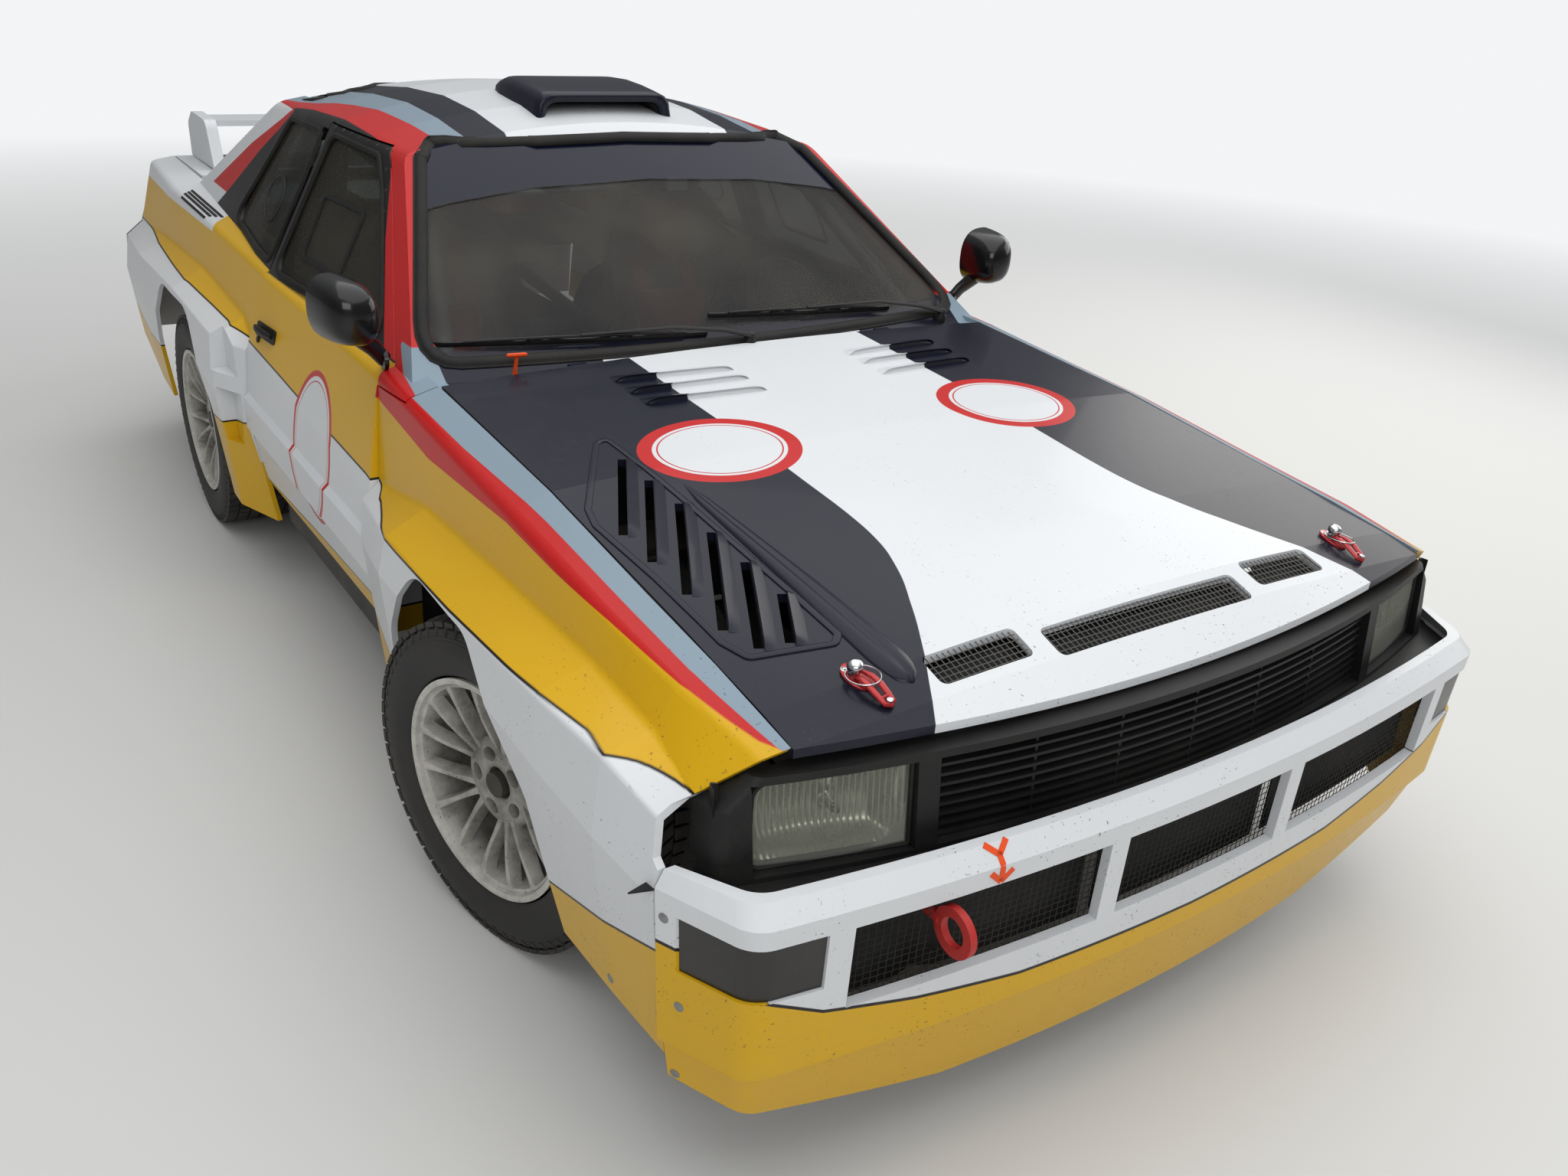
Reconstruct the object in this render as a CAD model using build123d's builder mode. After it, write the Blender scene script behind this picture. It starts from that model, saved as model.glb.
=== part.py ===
from build123d import *
import os
from math import atan2, degrees, hypot

# A short rally coupe with box flares, in millimetres. +X points forward, +Y to its left, +Z up.
# The origin is on the ground under the middle of the car.

# Driving dimensions
half_length = 2080.0
front_overhang = 925.0
wheelbase = 2204.0
front_axle_x = half_length - front_overhang
rear_axle_x = front_axle_x - wheelbase
track_front = 1516.0
track_rear = 1500.0
kingpin_half = 715.0
rest_steer = 14.3
tyre_radius = 318.0
skin = 12.0
panel_gap = 4.0
seat_gap = 0.3

# The hood and the strips beside it
hood_half = 699.0
hood_rear_x = 640.0
fender_seam_y = hood_half + panel_gap
boot_half = 656.0
quarter_seam_y = boot_half + panel_gap
cowl_z = 884.0

# Doors
door_front_x = 566.0
door_rear_x = -440.0
door_bottom_z = 330.0
door_inner_y = 735.0
sill_bottom_z = 206.0

# Arches
arch_front_half = 345.0
arch_rear_half = 384.0
arch_top_z = 656.0
arch_rear_top_z = 706.0
liner_radius = 366.0
liner_inner_y = 470.0
rear_liner_inner_y = 540.0

# Cabin shell
pillar_wall = 30.0
glass_inset = 5.0
glass_wall = 5.0
cut_z = 1236.0
screen_centre_x = 640.0
screen_centre_z = 892.0
screen_slope = 1.526
screen_bow = 104.0
back_centre_x = -1545.0
back_centre_z = 958.0
back_slope = 1.9
back_bow = 50.0
cabin_half = 820.0

os.makedirs("parts", exist_ok=True)


def section(plane, points, radii=0):
    # A closed profile of straight sides on a plane, with one corner radius, or a list of them in order
    with BuildSketch(plane) as profile:
        with BuildLine():
            if isinstance(radii, (list, tuple)):
                FilletPolyline(*points, radius=radii, close=True)
            else:
                Polyline(*points, close=True)
        make_face()
        if not isinstance(radii, (list, tuple)) and radii > 0:
            fillet(profile.vertices(), radius=radii)
    return profile.sketch


def side_profile(points, y=0.0, radius=0):
    # A profile of X and Z coordinates, standing at a given Y
    return section(Plane.XZ.offset(-y), points, radius)


def plan_profile(points, z, radius=0):
    return section(Plane.XY.offset(z), points, radius)


def front_profile(points, x, radius=0):
    # A profile of Y and Z coordinates, standing at a given X
    return section(Plane.YZ.offset(x), points, radius)


def save(piece, name):
    piece.part.label = name
    export_step(piece.part, "parts/" + name + ".step")


def moved_in(points, wall):
    # The same open line of points, moved to its left by a wall's thickness
    directions = []
    for a, b in zip(points, points[1:]):
        length = hypot(b[0] - a[0], b[1] - a[1])
        directions.append(((b[0] - a[0]) / length, (b[1] - a[1]) / length))
    line = []
    for i, (y, z) in enumerate(points):
        before = directions[max(i - 1, 0)]
        after = directions[min(i, len(directions) - 1)]
        along = 1 + before[0] * after[0] + before[1] * after[1]
        line.append((y - wall * (before[1] + after[1]) / along, z + wall * (before[0] + after[0]) / along))
    return line


def skin_section(x, line, wall, radii):
    # One section of a panel at x: its outside line, and the same line moved in, joined at both ends
    inside = moved_in(line, wall)
    inside[-1] = (line[-1][0], inside[-1][1])
    inner_radii = [max(radius - wall, 0) if radius > 0 else -radius for radius in radii]
    rounding = [abs(radius) for radius in radii] + [abs(radius) for radius in inner_radii[::-1]]
    return front_profile(line + inside[::-1], x, rounding)


# Sections of the body side, left half. On the fender, Y runs outwards from the edge of the hood:
# x, sill y z, flank y z, crease y z, ledge y z, shoulder y z, seam y z
fender_rows = (
    (door_front_x - 136, 101, 205, 139, 540, 130, 628, 107, 652, 71, 876, panel_gap, 890),
    (door_front_x + 54, 137, 215, 169, 560, 153, 640, 101, 676, 73, 866, panel_gap, 885),
    (front_axle_x - 355, 167, 235, 199, 585, 181, 660, 99, 704, 75, 850, panel_gap, 873),
    (front_axle_x, 169, 255, 202, 585, 190, 664, 99, 714, 76, 822, panel_gap, 848),
    (front_axle_x + 345, 169, 262, 202, 570, 190, 682, 97, 715, 71, 784, panel_gap, 806),
    (front_axle_x + 545, 163, 262, 196, 560, 181, 688, 101, 705, 63, 766, panel_gap, 784),
    (front_axle_x + 745, 151, 262, 173, 540, 151, 640, 119, 668, 43, 740, panel_gap, 754),
)
fender_stations = [[row[0]] + [value + (hood_half if i % 2 == 0 else 0) for i, value in enumerate(row[1:])]
                   for row in fender_rows]
quarter_front_x = door_rear_x - panel_gap
quarter_rear_x = 40.0 - half_length
flare_front_x = quarter_front_x - 116
flare_rear_x = rear_axle_x - 551
quarter_shoulder_z = 888.0
quarter_rise = 0.0294


def quarter_top(x, shoulder_y):
    # The shoulder and the seam, which rise evenly towards the rear
    z = quarter_shoulder_z + quarter_rise * (quarter_front_x - x)
    return (shoulder_y, z, quarter_seam_y, z + 14)


quarter_stations = (
    (quarter_front_x, 800, 205, 850, 545, 832, 690, 812, 712, *quarter_top(quarter_front_x, 762)),
    (flare_front_x, 866, 225, 899, 560, 888, 700, 800, 748, *quarter_top(flare_front_x, 762)),
    (rear_axle_x, 868, 250, 901, 600, 889, 722, 795, 778, *quarter_top(rear_axle_x, 762)),
    (flare_rear_x, 862, 300, 896, 590, 882, 710, 790, 760, *quarter_top(flare_rear_x, 762)),
    (quarter_rear_x, 838, 345, 862, 580, 845, 690, 790, 735, *quarter_top(quarter_rear_x, 735)),
)
# Corner radii of those sections, in the same order; a negative one is an inside corner
side_radii = (0, 14, 10, -18, 26, 0)


def side_line(row):
    return [tuple(row[i:i + 2]) for i in range(1, len(row), 2)]


def body_side(stations):
    # The sections of a side panel, from its rear end to its front end
    return [skin_section(row[0], side_line(row), skin, side_radii) for row in sorted(stations)]


# Side outlines, X and Z
fender_front_x = front_axle_x + 690
fender_edge = (
    (door_front_x + panel_gap, 180),
    (door_front_x + panel_gap, 522),
    (484, 848),
    (hood_rear_x, 856),
    (hood_rear_x, 960),
    (fender_front_x + 115, 960),
    (fender_front_x + 51, 758),
    (fender_front_x - 23, 670),
    (fender_front_x - 13, 600),
    (fender_front_x, 590),
    (fender_front_x, 180),
)
frame_foot_edge = (
    (482, 852),
    (hood_rear_x - panel_gap, 860),
    (hood_rear_x - panel_gap, 960),
    (466, 960),
    (466, 890),
)
front_arch = (
    (front_axle_x - arch_front_half, 150),
    (front_axle_x - arch_front_half, 470),
    (front_axle_x - 190, arch_top_z),
    (front_axle_x + 70, arch_top_z),
    (front_axle_x + 300, 480),
    (front_axle_x + 432, 150),
)
front_arch_radii = (0, 120, 110, 90, 60, 0)
rear_arch = (
    (rear_axle_x - arch_rear_half, 150),
    (rear_axle_x - arch_rear_half, 470),
    (rear_axle_x - 180, arch_rear_top_z),
    (rear_axle_x + 180, arch_rear_top_z),
    (rear_axle_x + arch_rear_half, 480),
    (rear_axle_x + arch_rear_half + 34, 150),
)
rear_arch_radii = (0, 140, 130, 130, 120, 0)

# Front fenders
with BuildPart() as front_fender_left:
    loft(body_side(fender_stations), ruled=True)
    extrude(side_profile(fender_edge, 600), amount=-400, mode=Mode.INTERSECT)
    extrude(side_profile(front_arch, 840, front_arch_radii), amount=-200, mode=Mode.SUBTRACT)
save(front_fender_left, "front_fender_left")
with BuildPart() as front_fender_right:
    mirror(front_fender_left.part, about=Plane.XZ)
save(front_fender_right, "front_fender_right")


# The cabin's outer form, and the same form moved in by a wall
# x, belt half width, rail half width, rail z, crown z
cabin_sections = (
    (760, 742, 545, 1232, 1268),
    (45, 748, 550, 1240, 1292),
    (-140, 750, 563, 1250, 1326),
    (-350, 766, 572, 1258, 1342),
    (-620, 757.6, 566, 1253, 1335),
    (-880, 737.2, 552, 1240, 1312),
    (-1800, 702.5, 530, 1214, 1280),
)
cabin_low_z = 862.0
cabin_high_z = 1390.0
rail_radius = 46.0


def cabin_form(wall):
    with BuildPart() as form:
        for x, belt_y, rail_y, rail_z, crown_z in sorted(cabin_sections):
            with BuildSketch(Plane.YZ.offset(x)) as profile:
                with BuildLine():
                    belt = belt_y - wall * 1.16
                    rail = rail_y - wall * 0.85
                    side = Polyline((rail, rail_z - wall), (belt, cabin_low_z), (-belt, cabin_low_z), (-rail, rail_z - wall))
                    ThreePointArc(side @ 1, (0, crown_z - wall), side @ 0)
                make_face()
                fillet(profile.vertices().sort_by(Axis.Y)[-2:], radius=rail_radius)
        loft(ruled=True)
        for z in (cabin_low_z - 20, cabin_high_z):
            front = screen_centre_x - screen_slope * (z - screen_centre_z) - wall * hypot(1, screen_slope)
            rear = back_centre_x + back_slope * (z - back_centre_z) + wall * hypot(1, back_slope)
            with BuildSketch(Plane.XY.offset(z)) as plan:
                with BuildLine():
                    ThreePointArc((front - screen_bow, cabin_half), (front, 0), (front - screen_bow, -cabin_half))
                    Line((front - screen_bow, -cabin_half), (rear + back_bow, -cabin_half))
                    ThreePointArc((rear + back_bow, -cabin_half), (rear, 0), (rear + back_bow, cabin_half))
                    Line((rear + back_bow, cabin_half), (front - screen_bow, cabin_half))
                make_face()
        loft(ruled=True, mode=Mode.INTERSECT)
    return form.part


cabin_outside = cabin_form(0)
cabin_inside = cabin_form(pillar_wall)
glass_outside = cabin_form(glass_inset)
glass_inside = cabin_form(glass_inset + glass_wall)

# Window openings. The screens are drawn in the front view, the side windows in the side view.
windscreen_opening = ((-694, 908), (694, 908), (492, 1262), (-492, 1262))
back_opening = ((-600, 985), (600, 985), (470, 1282), (-470, 1282))
door_window = ((372, 898), (-52, 1216), (-352, 1226), (-396, 904))
quarter_window = ((-478, 908), (-432, 1222), (-770, 1214), (-985, 930))
opening_radius = 38.0
screen_top_x = 18.0
back_top_x = -892.0

# The outline of a door in the side view, and the seams round it
door_edge = (
    (door_front_x, door_bottom_z),
    (door_front_x, 520),
    (478, 850),
    (462, 886),
    (-24, 1242),
    (-392, 1250),
    (door_rear_x, 886),
    (door_rear_x, door_bottom_z),
)
pillar_front_x = hood_rear_x - panel_gap
pillar_edge = ((pillar_front_x, 852), (pillar_front_x, cut_z - seat_gap), (-60, cut_z - seat_gap), (-60, 852))


def grown(points, gap):
    # A closed outline of points moved outwards by a gap, for points that run anticlockwise
    count = len(points)
    line = []
    for i in range(count):
        (ax, az), (bx, bz), (cx, cz) = points[i - 1], points[i], points[(i + 1) % count]
        first = hypot(bx - ax, bz - az)
        second = hypot(cx - bx, cz - bz)
        d1 = ((bx - ax) / first, (bz - az) / first)
        d2 = ((cx - bx) / second, (cz - bz) / second)
        along = 1 + d1[0] * d2[0] + d1[1] * d2[1]
        line.append((bx + gap * (d1[1] + d2[1]) / along, bz - gap * (d1[0] + d2[0]) / along))
    return line


# Windscreen frame: the cowl, both pillar feet and both front pillars
with BuildPart() as pillar_feet:
    loft(body_side(fender_stations[:3]), ruled=True)
    extrude(side_profile(frame_foot_edge, 600), amount=-400, mode=Mode.INTERSECT)
    mirror(about=Plane.XZ)
with BuildPart() as windscreen_frame:
    extrude(side_profile(pillar_edge), amount=900, both=True)
    add(cabin_outside, mode=Mode.INTERSECT)
    add(cabin_inside, mode=Mode.SUBTRACT)
    extrude(front_profile(windscreen_opening, screen_top_x, opening_radius), amount=800, mode=Mode.SUBTRACT)
    extrude(side_profile(grown(door_edge, panel_gap)), amount=900, both=True, mode=Mode.SUBTRACT)
    add(pillar_feet.part)
    with Locations((570, 0, cowl_z - 14)):
        Box(132, 2 * fender_seam_y + 20, 10)
    # Hinge lugs that the hood's rear edge lies against
    with Locations((hood_rear_x + panel_gap - seat_gap, 400, 893), (hood_rear_x + panel_gap - seat_gap, -400, 893)):
        Box(22, 40, 24, align=(Align.MAX, Align.CENTER, Align.MAX))
save(windscreen_frame, "windscreen_frame")

# Roof skin with the headers over both screens, and the rails over the side windows
with BuildPart() as roof:
    with Locations((0, 0, cut_z)):
        Box(6000, 2000, 400, align=(Align.CENTER, Align.CENTER, Align.MIN))
    add(cabin_outside, mode=Mode.INTERSECT)
    add(cabin_inside, mode=Mode.SUBTRACT)
    extrude(front_profile(windscreen_opening, screen_top_x, opening_radius), amount=800, mode=Mode.SUBTRACT)
    extrude(front_profile(back_opening, back_top_x, opening_radius), amount=-1000, mode=Mode.SUBTRACT)
    extrude(side_profile(grown(door_edge, panel_gap)), amount=900, both=True, mode=Mode.SUBTRACT)
save(roof, "roof")

# Rear pillars round the quarter windows, and the rear quarters with their flares and arches under them
deck_z = 985.0
deck_half = 636.0
deck_front_x = -1400.0
quarter_top_edge = (
    (door_rear_x - panel_gap, 866),
    (door_rear_x - panel_gap, 886),
    (-396, cut_z - seat_gap),
    (-1700, cut_z - seat_gap),
    (-1700, 866),
)
quarter_top_slope = 14 / (762 - quarter_seam_y)
with BuildPart() as above_quarter:
    # The space above the quarter's top, which falls outwards
    above = []
    for x in (-1800, quarter_front_x):
        y, z, seam_y, seam_z = quarter_top(x, 762)
        above.append(front_profile([(500, seam_z + quarter_top_slope * (seam_y - 500) + seat_gap), (800, z - quarter_top_slope * 38 + seat_gap),
                                    (800, 1300), (500, 1300)], x))
    loft(above, ruled=True)
with BuildPart() as rear_pillar_left:
    extrude(side_profile(quarter_top_edge), amount=-900)
    add(above_quarter.part, mode=Mode.INTERSECT)
    add(cabin_outside, mode=Mode.INTERSECT)
    add(cabin_inside, mode=Mode.SUBTRACT)
    extrude(side_profile(quarter_window, 0, opening_radius), amount=-900, mode=Mode.SUBTRACT)
    extrude(front_profile(back_opening, back_top_x, opening_radius), amount=-1000, mode=Mode.SUBTRACT)
    with Locations((deck_front_x, 0, deck_z)):
        Box(600, 2 * (deck_half + panel_gap), 300, align=(Align.MAX, Align.CENTER, Align.MAX), mode=Mode.SUBTRACT)
save(rear_pillar_left, "rear_pillar_left")
with BuildPart() as rear_pillar_right:
    mirror(rear_pillar_left.part, about=Plane.XZ)
save(rear_pillar_right, "rear_pillar_right")

# Two air scoops in the front of each rear flare: their low and high z, and the x of the wall behind each
flare_scoops = ((420, 569, flare_front_x + 8), (611, 744, flare_front_x - 26))
scoop_floor_y = 853.0
with BuildPart() as scoop_boxes:
    for low_z, high_z, back_x in flare_scoops:
        with Locations((back_x - skin, scoop_floor_y - skin, low_z - skin)):
            Box(quarter_front_x - back_x + skin, 100, high_z - low_z + 2 * skin, align=(Align.MIN, Align.MIN, Align.MIN))
with BuildPart() as scoop_walls:
    fill = []
    for row in sorted(quarter_stations):
        flank = moved_in(side_line(row), 3)[:4]
        fill.append(front_profile(flank + [(780, flank[-1][1]), (780, flank[0][1])], row[0]))
    loft(fill, ruled=True)
    add(scoop_boxes.part, mode=Mode.INTERSECT)
with BuildPart() as rear_quarter_left:
    loft(body_side(quarter_stations), ruled=True)
    add(scoop_walls.part)
    for low_z, high_z, back_x in flare_scoops:
        with Locations((back_x, scoop_floor_y, low_z)):
            Box(300, 100, high_z - low_z, align=(Align.MIN, Align.MIN, Align.MIN), mode=Mode.SUBTRACT)
    extrude(side_profile(rear_arch, 600, rear_arch_radii), amount=-500, mode=Mode.SUBTRACT)
save(rear_quarter_left, "rear_quarter_left")
with BuildPart() as rear_quarter_right:
    mirror(rear_quarter_left.part, about=Plane.XZ)
save(rear_quarter_right, "rear_quarter_right")

# Strip under the rear window, with the shelf inside it
with BuildPart() as rear_deck:
    with Locations((deck_front_x - seat_gap, 0, deck_z - seat_gap)):
        Box(600, 2 * deck_half, 48, align=(Align.MAX, Align.CENTER, Align.MAX))
    add(cabin_outside, mode=Mode.INTERSECT)
    add(cabin_inside, mode=Mode.SUBTRACT)
    with Locations((-1290, 0, 941)):
        Box(420, 2 * 630, 8)
save(rear_deck, "rear_deck")


# Glass: each pane lies in its opening, between the frame's outside and inside
pane_clear = 0.6
with BuildPart() as windscreen:
    extrude(front_profile(grown(windscreen_opening, -pane_clear), screen_top_x, opening_radius), amount=800)
    add(glass_outside, mode=Mode.INTERSECT)
    add(glass_inside, mode=Mode.SUBTRACT)
save(windscreen, "windscreen")
with BuildPart() as rear_window:
    extrude(front_profile(grown(back_opening, -pane_clear), back_top_x, opening_radius), amount=-1000)
    add(glass_outside, mode=Mode.INTERSECT)
    add(glass_inside, mode=Mode.SUBTRACT)
save(rear_window, "rear_window")


# The quarter pane runs on straight past the cabin's last bend
quarter_pane_rows = (*cabin_sections[3:5], (-1000, 727.8, 545.5, 1234, 1302))


def side_layer(rows, outer, inner):
    # A thin layer of the cabin's left side, between two depths under its surface
    sections = []
    for x, belt_y, rail_y, rail_z, crown_z in sorted(rows):
        slope = (belt_y - rail_y) / (rail_z - cabin_low_z)
        aside = hypot(1, slope)
        sections.append(front_profile([(belt_y - outer * aside, cabin_low_z), (rail_y - outer * aside, rail_z),
                                       (rail_y - inner * aside, rail_z), (belt_y - inner * aside, cabin_low_z)], x))
    return sections


side_panes = {}
for opening, rows, name in ((quarter_window, quarter_pane_rows, "quarter_windows"), (door_window, cabin_sections, "door_glass")):
    with BuildPart() as side_pane:
        loft(side_layer(rows, glass_inset, glass_inset + glass_wall), ruled=True)
        extrude(side_profile(grown(opening, -pane_clear), 0, opening_radius), amount=-900, mode=Mode.INTERSECT)
    side_panes[name] = side_pane.part
with BuildPart() as quarter_windows:
    add(side_panes["quarter_windows"])
    mirror(about=Plane.XZ)
save(quarter_windows, "quarter_windows")
with BuildPart() as door_glass_left:
    add(side_panes["door_glass"])
save(door_glass_left, "door_glass_left")
with BuildPart() as door_glass_right:
    mirror(side_panes["door_glass"], about=Plane.XZ)
save(door_glass_right, "door_glass_right")

# Doors: the lower door with its rib, and the frame round the window.
# x, bottom y, lower rib corner y z, rib y z low, rib y z high, upper rib corner y z, bend y z, shoulder y z
door_stations = (
    (door_rear_x, 812, 838, 470, 851, 484, 851, 566, 838, 580, 826, 700, 764, 888),
    (60, 808, 838, 464, 851, 478, 851, 560, 838, 574, 826, 668, 767, 884),
    (door_front_x, 806, 838, 458, 851, 472, 851, 552, 838, 566, 828, 632, 770, 872),
)
door_radii = (0, -4, 6, 6, -4, 30, 26, 0, 0, 0)
hinge_x = door_front_x
hinge_y = 852.0
door_length = door_front_x - door_rear_x
# Radius about the hinge, z
swing = (
    (0, 0),
    (door_length, 0),
    (door_length, 710),
    (hypot(door_length, hinge_y - 764), 888),
    (hypot(door_length, hinge_y - 747), 889),
    (hypot(door_front_x + 392, hinge_y - 561), 1250),
    (hypot(door_front_x + 392, hinge_y - 561), 1400),
    (0, 1400),
)
with BuildPart() as door_frame:
    extrude(side_profile(door_edge), amount=-900)
    add(cabin_outside, mode=Mode.INTERSECT)
    add(cabin_inside, mode=Mode.SUBTRACT)
    extrude(side_profile(door_window, 0, opening_radius), amount=-900, mode=Mode.SUBTRACT)
with BuildPart() as door_left:
    door_sections = []
    for x, low_y, y1, z1, y2, z2, y3, z3, y4, z4, y5, z5, y6, z6 in door_stations:
        line = [(low_y, door_bottom_z), (y1, z1), (y2, z2), (y3, z3), (y4, z4), (y5, z5), (y6, z6),
                (y6 - 62, z6 + 2), (door_inner_y, 640), (door_inner_y + 8, door_bottom_z)]
        door_sections.append(front_profile(line, x, [abs(radius) for radius in door_radii]))
    loft(door_sections, ruled=True)
    extrude(side_profile(door_edge), amount=-900, mode=Mode.INTERSECT)
    add(door_frame.part)
    # Everything stays inside the path of the outer rear edge, so that the door swings clear of the quarter
    with BuildSketch(Plane.XZ.offset(-hinge_y)):
        with BuildLine():
            Polyline(*[(hinge_x - radius, z) for radius, z in swing], close=True)
        make_face()
    revolve(axis=Axis((hinge_x, hinge_y, 0), (0, 0, 1)), mode=Mode.INTERSECT)
save(door_left, "door_left")
with BuildPart() as door_right:
    mirror(door_left.part, about=Plane.XZ)
save(door_right, "door_right")


# Hood: x, centre z, edge z
hood_stations = (
    (hood_rear_x + panel_gap, 901, 885),
    (front_axle_x, 868, 847),
    (front_axle_x + 445, 824, 795),
    (front_axle_x + 665, 797, 765),
    (front_axle_x + 741, 771, 751),
    (front_axle_x + 830, 724, 712),
)
hood_wall = 14.0
nose_centre_x = half_length - 120.0
hood_bow = 66.0

# The lamps and the grille stand on a bowed line, which leans forward a little towards the ground
nose_x = half_length - 80.0
nose_z = 634.0
nose_lean = 0.07
nose_bow = 112.0
bow_half = 740.0


def bowed_band(z, front_shift, depth, half_width):
    # A band in plan along the nose line, from a shift ahead of it back by a depth
    centre = nose_x + nose_lean * (nose_z - z) + front_shift
    bow = nose_bow * (half_width / bow_half) ** 2
    with BuildSketch(Plane.XY.offset(z)) as band:
        with BuildLine():
            ThreePointArc((centre - bow, half_width), (centre, 0), (centre - bow, -half_width))
            Line((centre - bow, -half_width), (centre - bow - depth, -half_width))
            ThreePointArc((centre - bow - depth, -half_width), (centre - depth, 0), (centre - bow - depth, half_width))
            Line((centre - bow - depth, half_width), (centre - bow, half_width))
        make_face()
    return band.sketch


# Mesh vents across the front of the hood: middle y, width, x at its middle
hood_vents = ((0, 440, nose_centre_x - 92), (347, 176, nose_centre_x - 110), (-347, 176, nose_centre_x - 110))
hood_vent_depth = 58.0
with BuildPart() as hood_form:
    for x, centre_z, edge_z in hood_stations:
        with BuildSketch(Plane.YZ.offset(x)) as profile:
            with BuildLine():
                ThreePointArc((-hood_half, edge_z), (0, centre_z), (hood_half, edge_z))
                Line((hood_half, edge_z), (hood_half, edge_z - hood_wall))
                ThreePointArc((hood_half, edge_z - hood_wall), (0, centre_z - hood_wall), (-hood_half, edge_z - hood_wall))
                Line((-hood_half, edge_z - hood_wall), (-hood_half, edge_z))
            make_face()
    loft(ruled=True)
    with BuildSketch(Plane.XY.offset(600)) as hood_plan:
        with BuildLine():
            corner = nose_centre_x - hood_bow
            ThreePointArc((corner, hood_half), (nose_centre_x, 0), (corner, -hood_half))
            Polyline((corner, -hood_half), (600, -hood_half), (600, hood_half), (corner, hood_half))
        make_face()
    extrude(amount=400, mode=Mode.INTERSECT)


def vent_blocks(gap):
    # One upright block for each mesh vent, smaller all round by a gap
    with BuildPart() as blocks:
        with BuildSketch(Plane.XY.offset(700)):
            for middle_y, width, x in hood_vents:
                with Locations((x, middle_y)):
                    RectangleRounded(hood_vent_depth - 2 * gap, width - 2 * gap, 12 - gap)
        extrude(amount=200)
    return blocks.part


# Louvre slots in the right half of the hood: their rear and front ends, behind and ahead of the axle line
hood_slots = (
    ((-58, -538), (180, -658)),
    ((35, -534), (272, -655)),
    ((129, -527), (376, -652)),
    ((235, -527), (480, -651)),
    ((338, -526), (541, -628)),
    ((441, -524), (551, -581)),
)
slot_width = 15.0
with BuildPart() as hood:
    add(hood_form.part)
    add(vent_blocks(0), mode=Mode.SUBTRACT)
    for (x1, y1), (x2, y2) in hood_slots:
        middle = (front_axle_x + (x1 + x2) / 2, (y1 + y2) / 2, hood_stations[0][1])
        with Locations(Location(middle, (0, 0, degrees(atan2(y2 - y1, x2 - x1))))):
            Box(hypot(x2 - x1, y2 - y1), slot_width, 400, mode=Mode.SUBTRACT)
save(hood, "hood")
with BuildPart() as hood_mesh:
    add(hood_form.part.moved(Location((0, 0, -4))))
    add(hood_form.part.moved(Location((0, 0, -7))), mode=Mode.SUBTRACT)
    add(vent_blocks(seat_gap), mode=Mode.INTERSECT)
save(hood_mesh, "hood_mesh")

# Black surround of the lamps and the grille, which wraps round to the front edge of each fender.
# z, side y, corner x, corner y, centre x
surround_levels = (
    (560, 846, nose_x - 112, 806, nose_x + 8),
    (672, 822, nose_x - 122, 796, nose_x),
    (718, 766, nose_x - 114, 752, nose_x - 4),
)
surround_wall = 60.0
surround_back_x = nose_x - 240
lamp_inner_y = 524.0
lamp_outer_y = 756.0
lamp_low_z = 570.0
lamp_high_z = 706.0
grille_half = 490.0


def wrap_level(z, side_y, corner_x, corner_y, centre_x, wall, back_x, corner_radius):
    # The front's plan at one height: straight sides, rounded corners and a bowed front
    with BuildSketch(Plane.XY.offset(z)) as plan:
        with BuildLine():
            ThreePointArc((corner_x - wall, corner_y - wall), (centre_x - wall, 0), (corner_x - wall, wall - corner_y))
            Polyline((corner_x - wall, wall - corner_y), (back_x, wall - side_y),
                     (back_x, side_y - wall), (corner_x - wall, corner_y - wall))
        make_face()
        fillet(plan.vertices().sort_by(Axis.X)[-2:], radius=corner_radius)
    return plan.sketch


def wrap_shell(levels, wall, back_x, corner_radius):
    with BuildPart() as shell:
        loft([wrap_level(*row, 0, back_x, corner_radius) for row in sorted(levels)], ruled=True)
        loft([wrap_level(*row, wall, back_x, corner_radius) for row in sorted(levels)], ruled=True, mode=Mode.SUBTRACT)
    return shell.part


with BuildPart() as front_panel:
    add(wrap_shell(surround_levels, surround_wall, surround_back_x, 30))
    for side in (1, -1):
        with Locations((nose_x - 50, side * (lamp_inner_y + lamp_outer_y) / 2, (lamp_low_z + lamp_high_z) / 2)):
            Box(400, lamp_outer_y - lamp_inner_y, lamp_high_z - lamp_low_z, mode=Mode.SUBTRACT)
    with Locations((nose_x - 50, 0, (lamp_low_z + lamp_high_z) / 2)):
        Box(400, 2 * grille_half, lamp_high_z - lamp_low_z, mode=Mode.SUBTRACT)
    extrude(side_profile(grown(fender_edge[::-1], panel_gap)), amount=1000, both=True, mode=Mode.SUBTRACT)
    with Locations((surround_back_x, 0, 600)):
        Box(200, 2 * 690, 400, mode=Mode.SUBTRACT)
save(front_panel, "front_panel")

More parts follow.
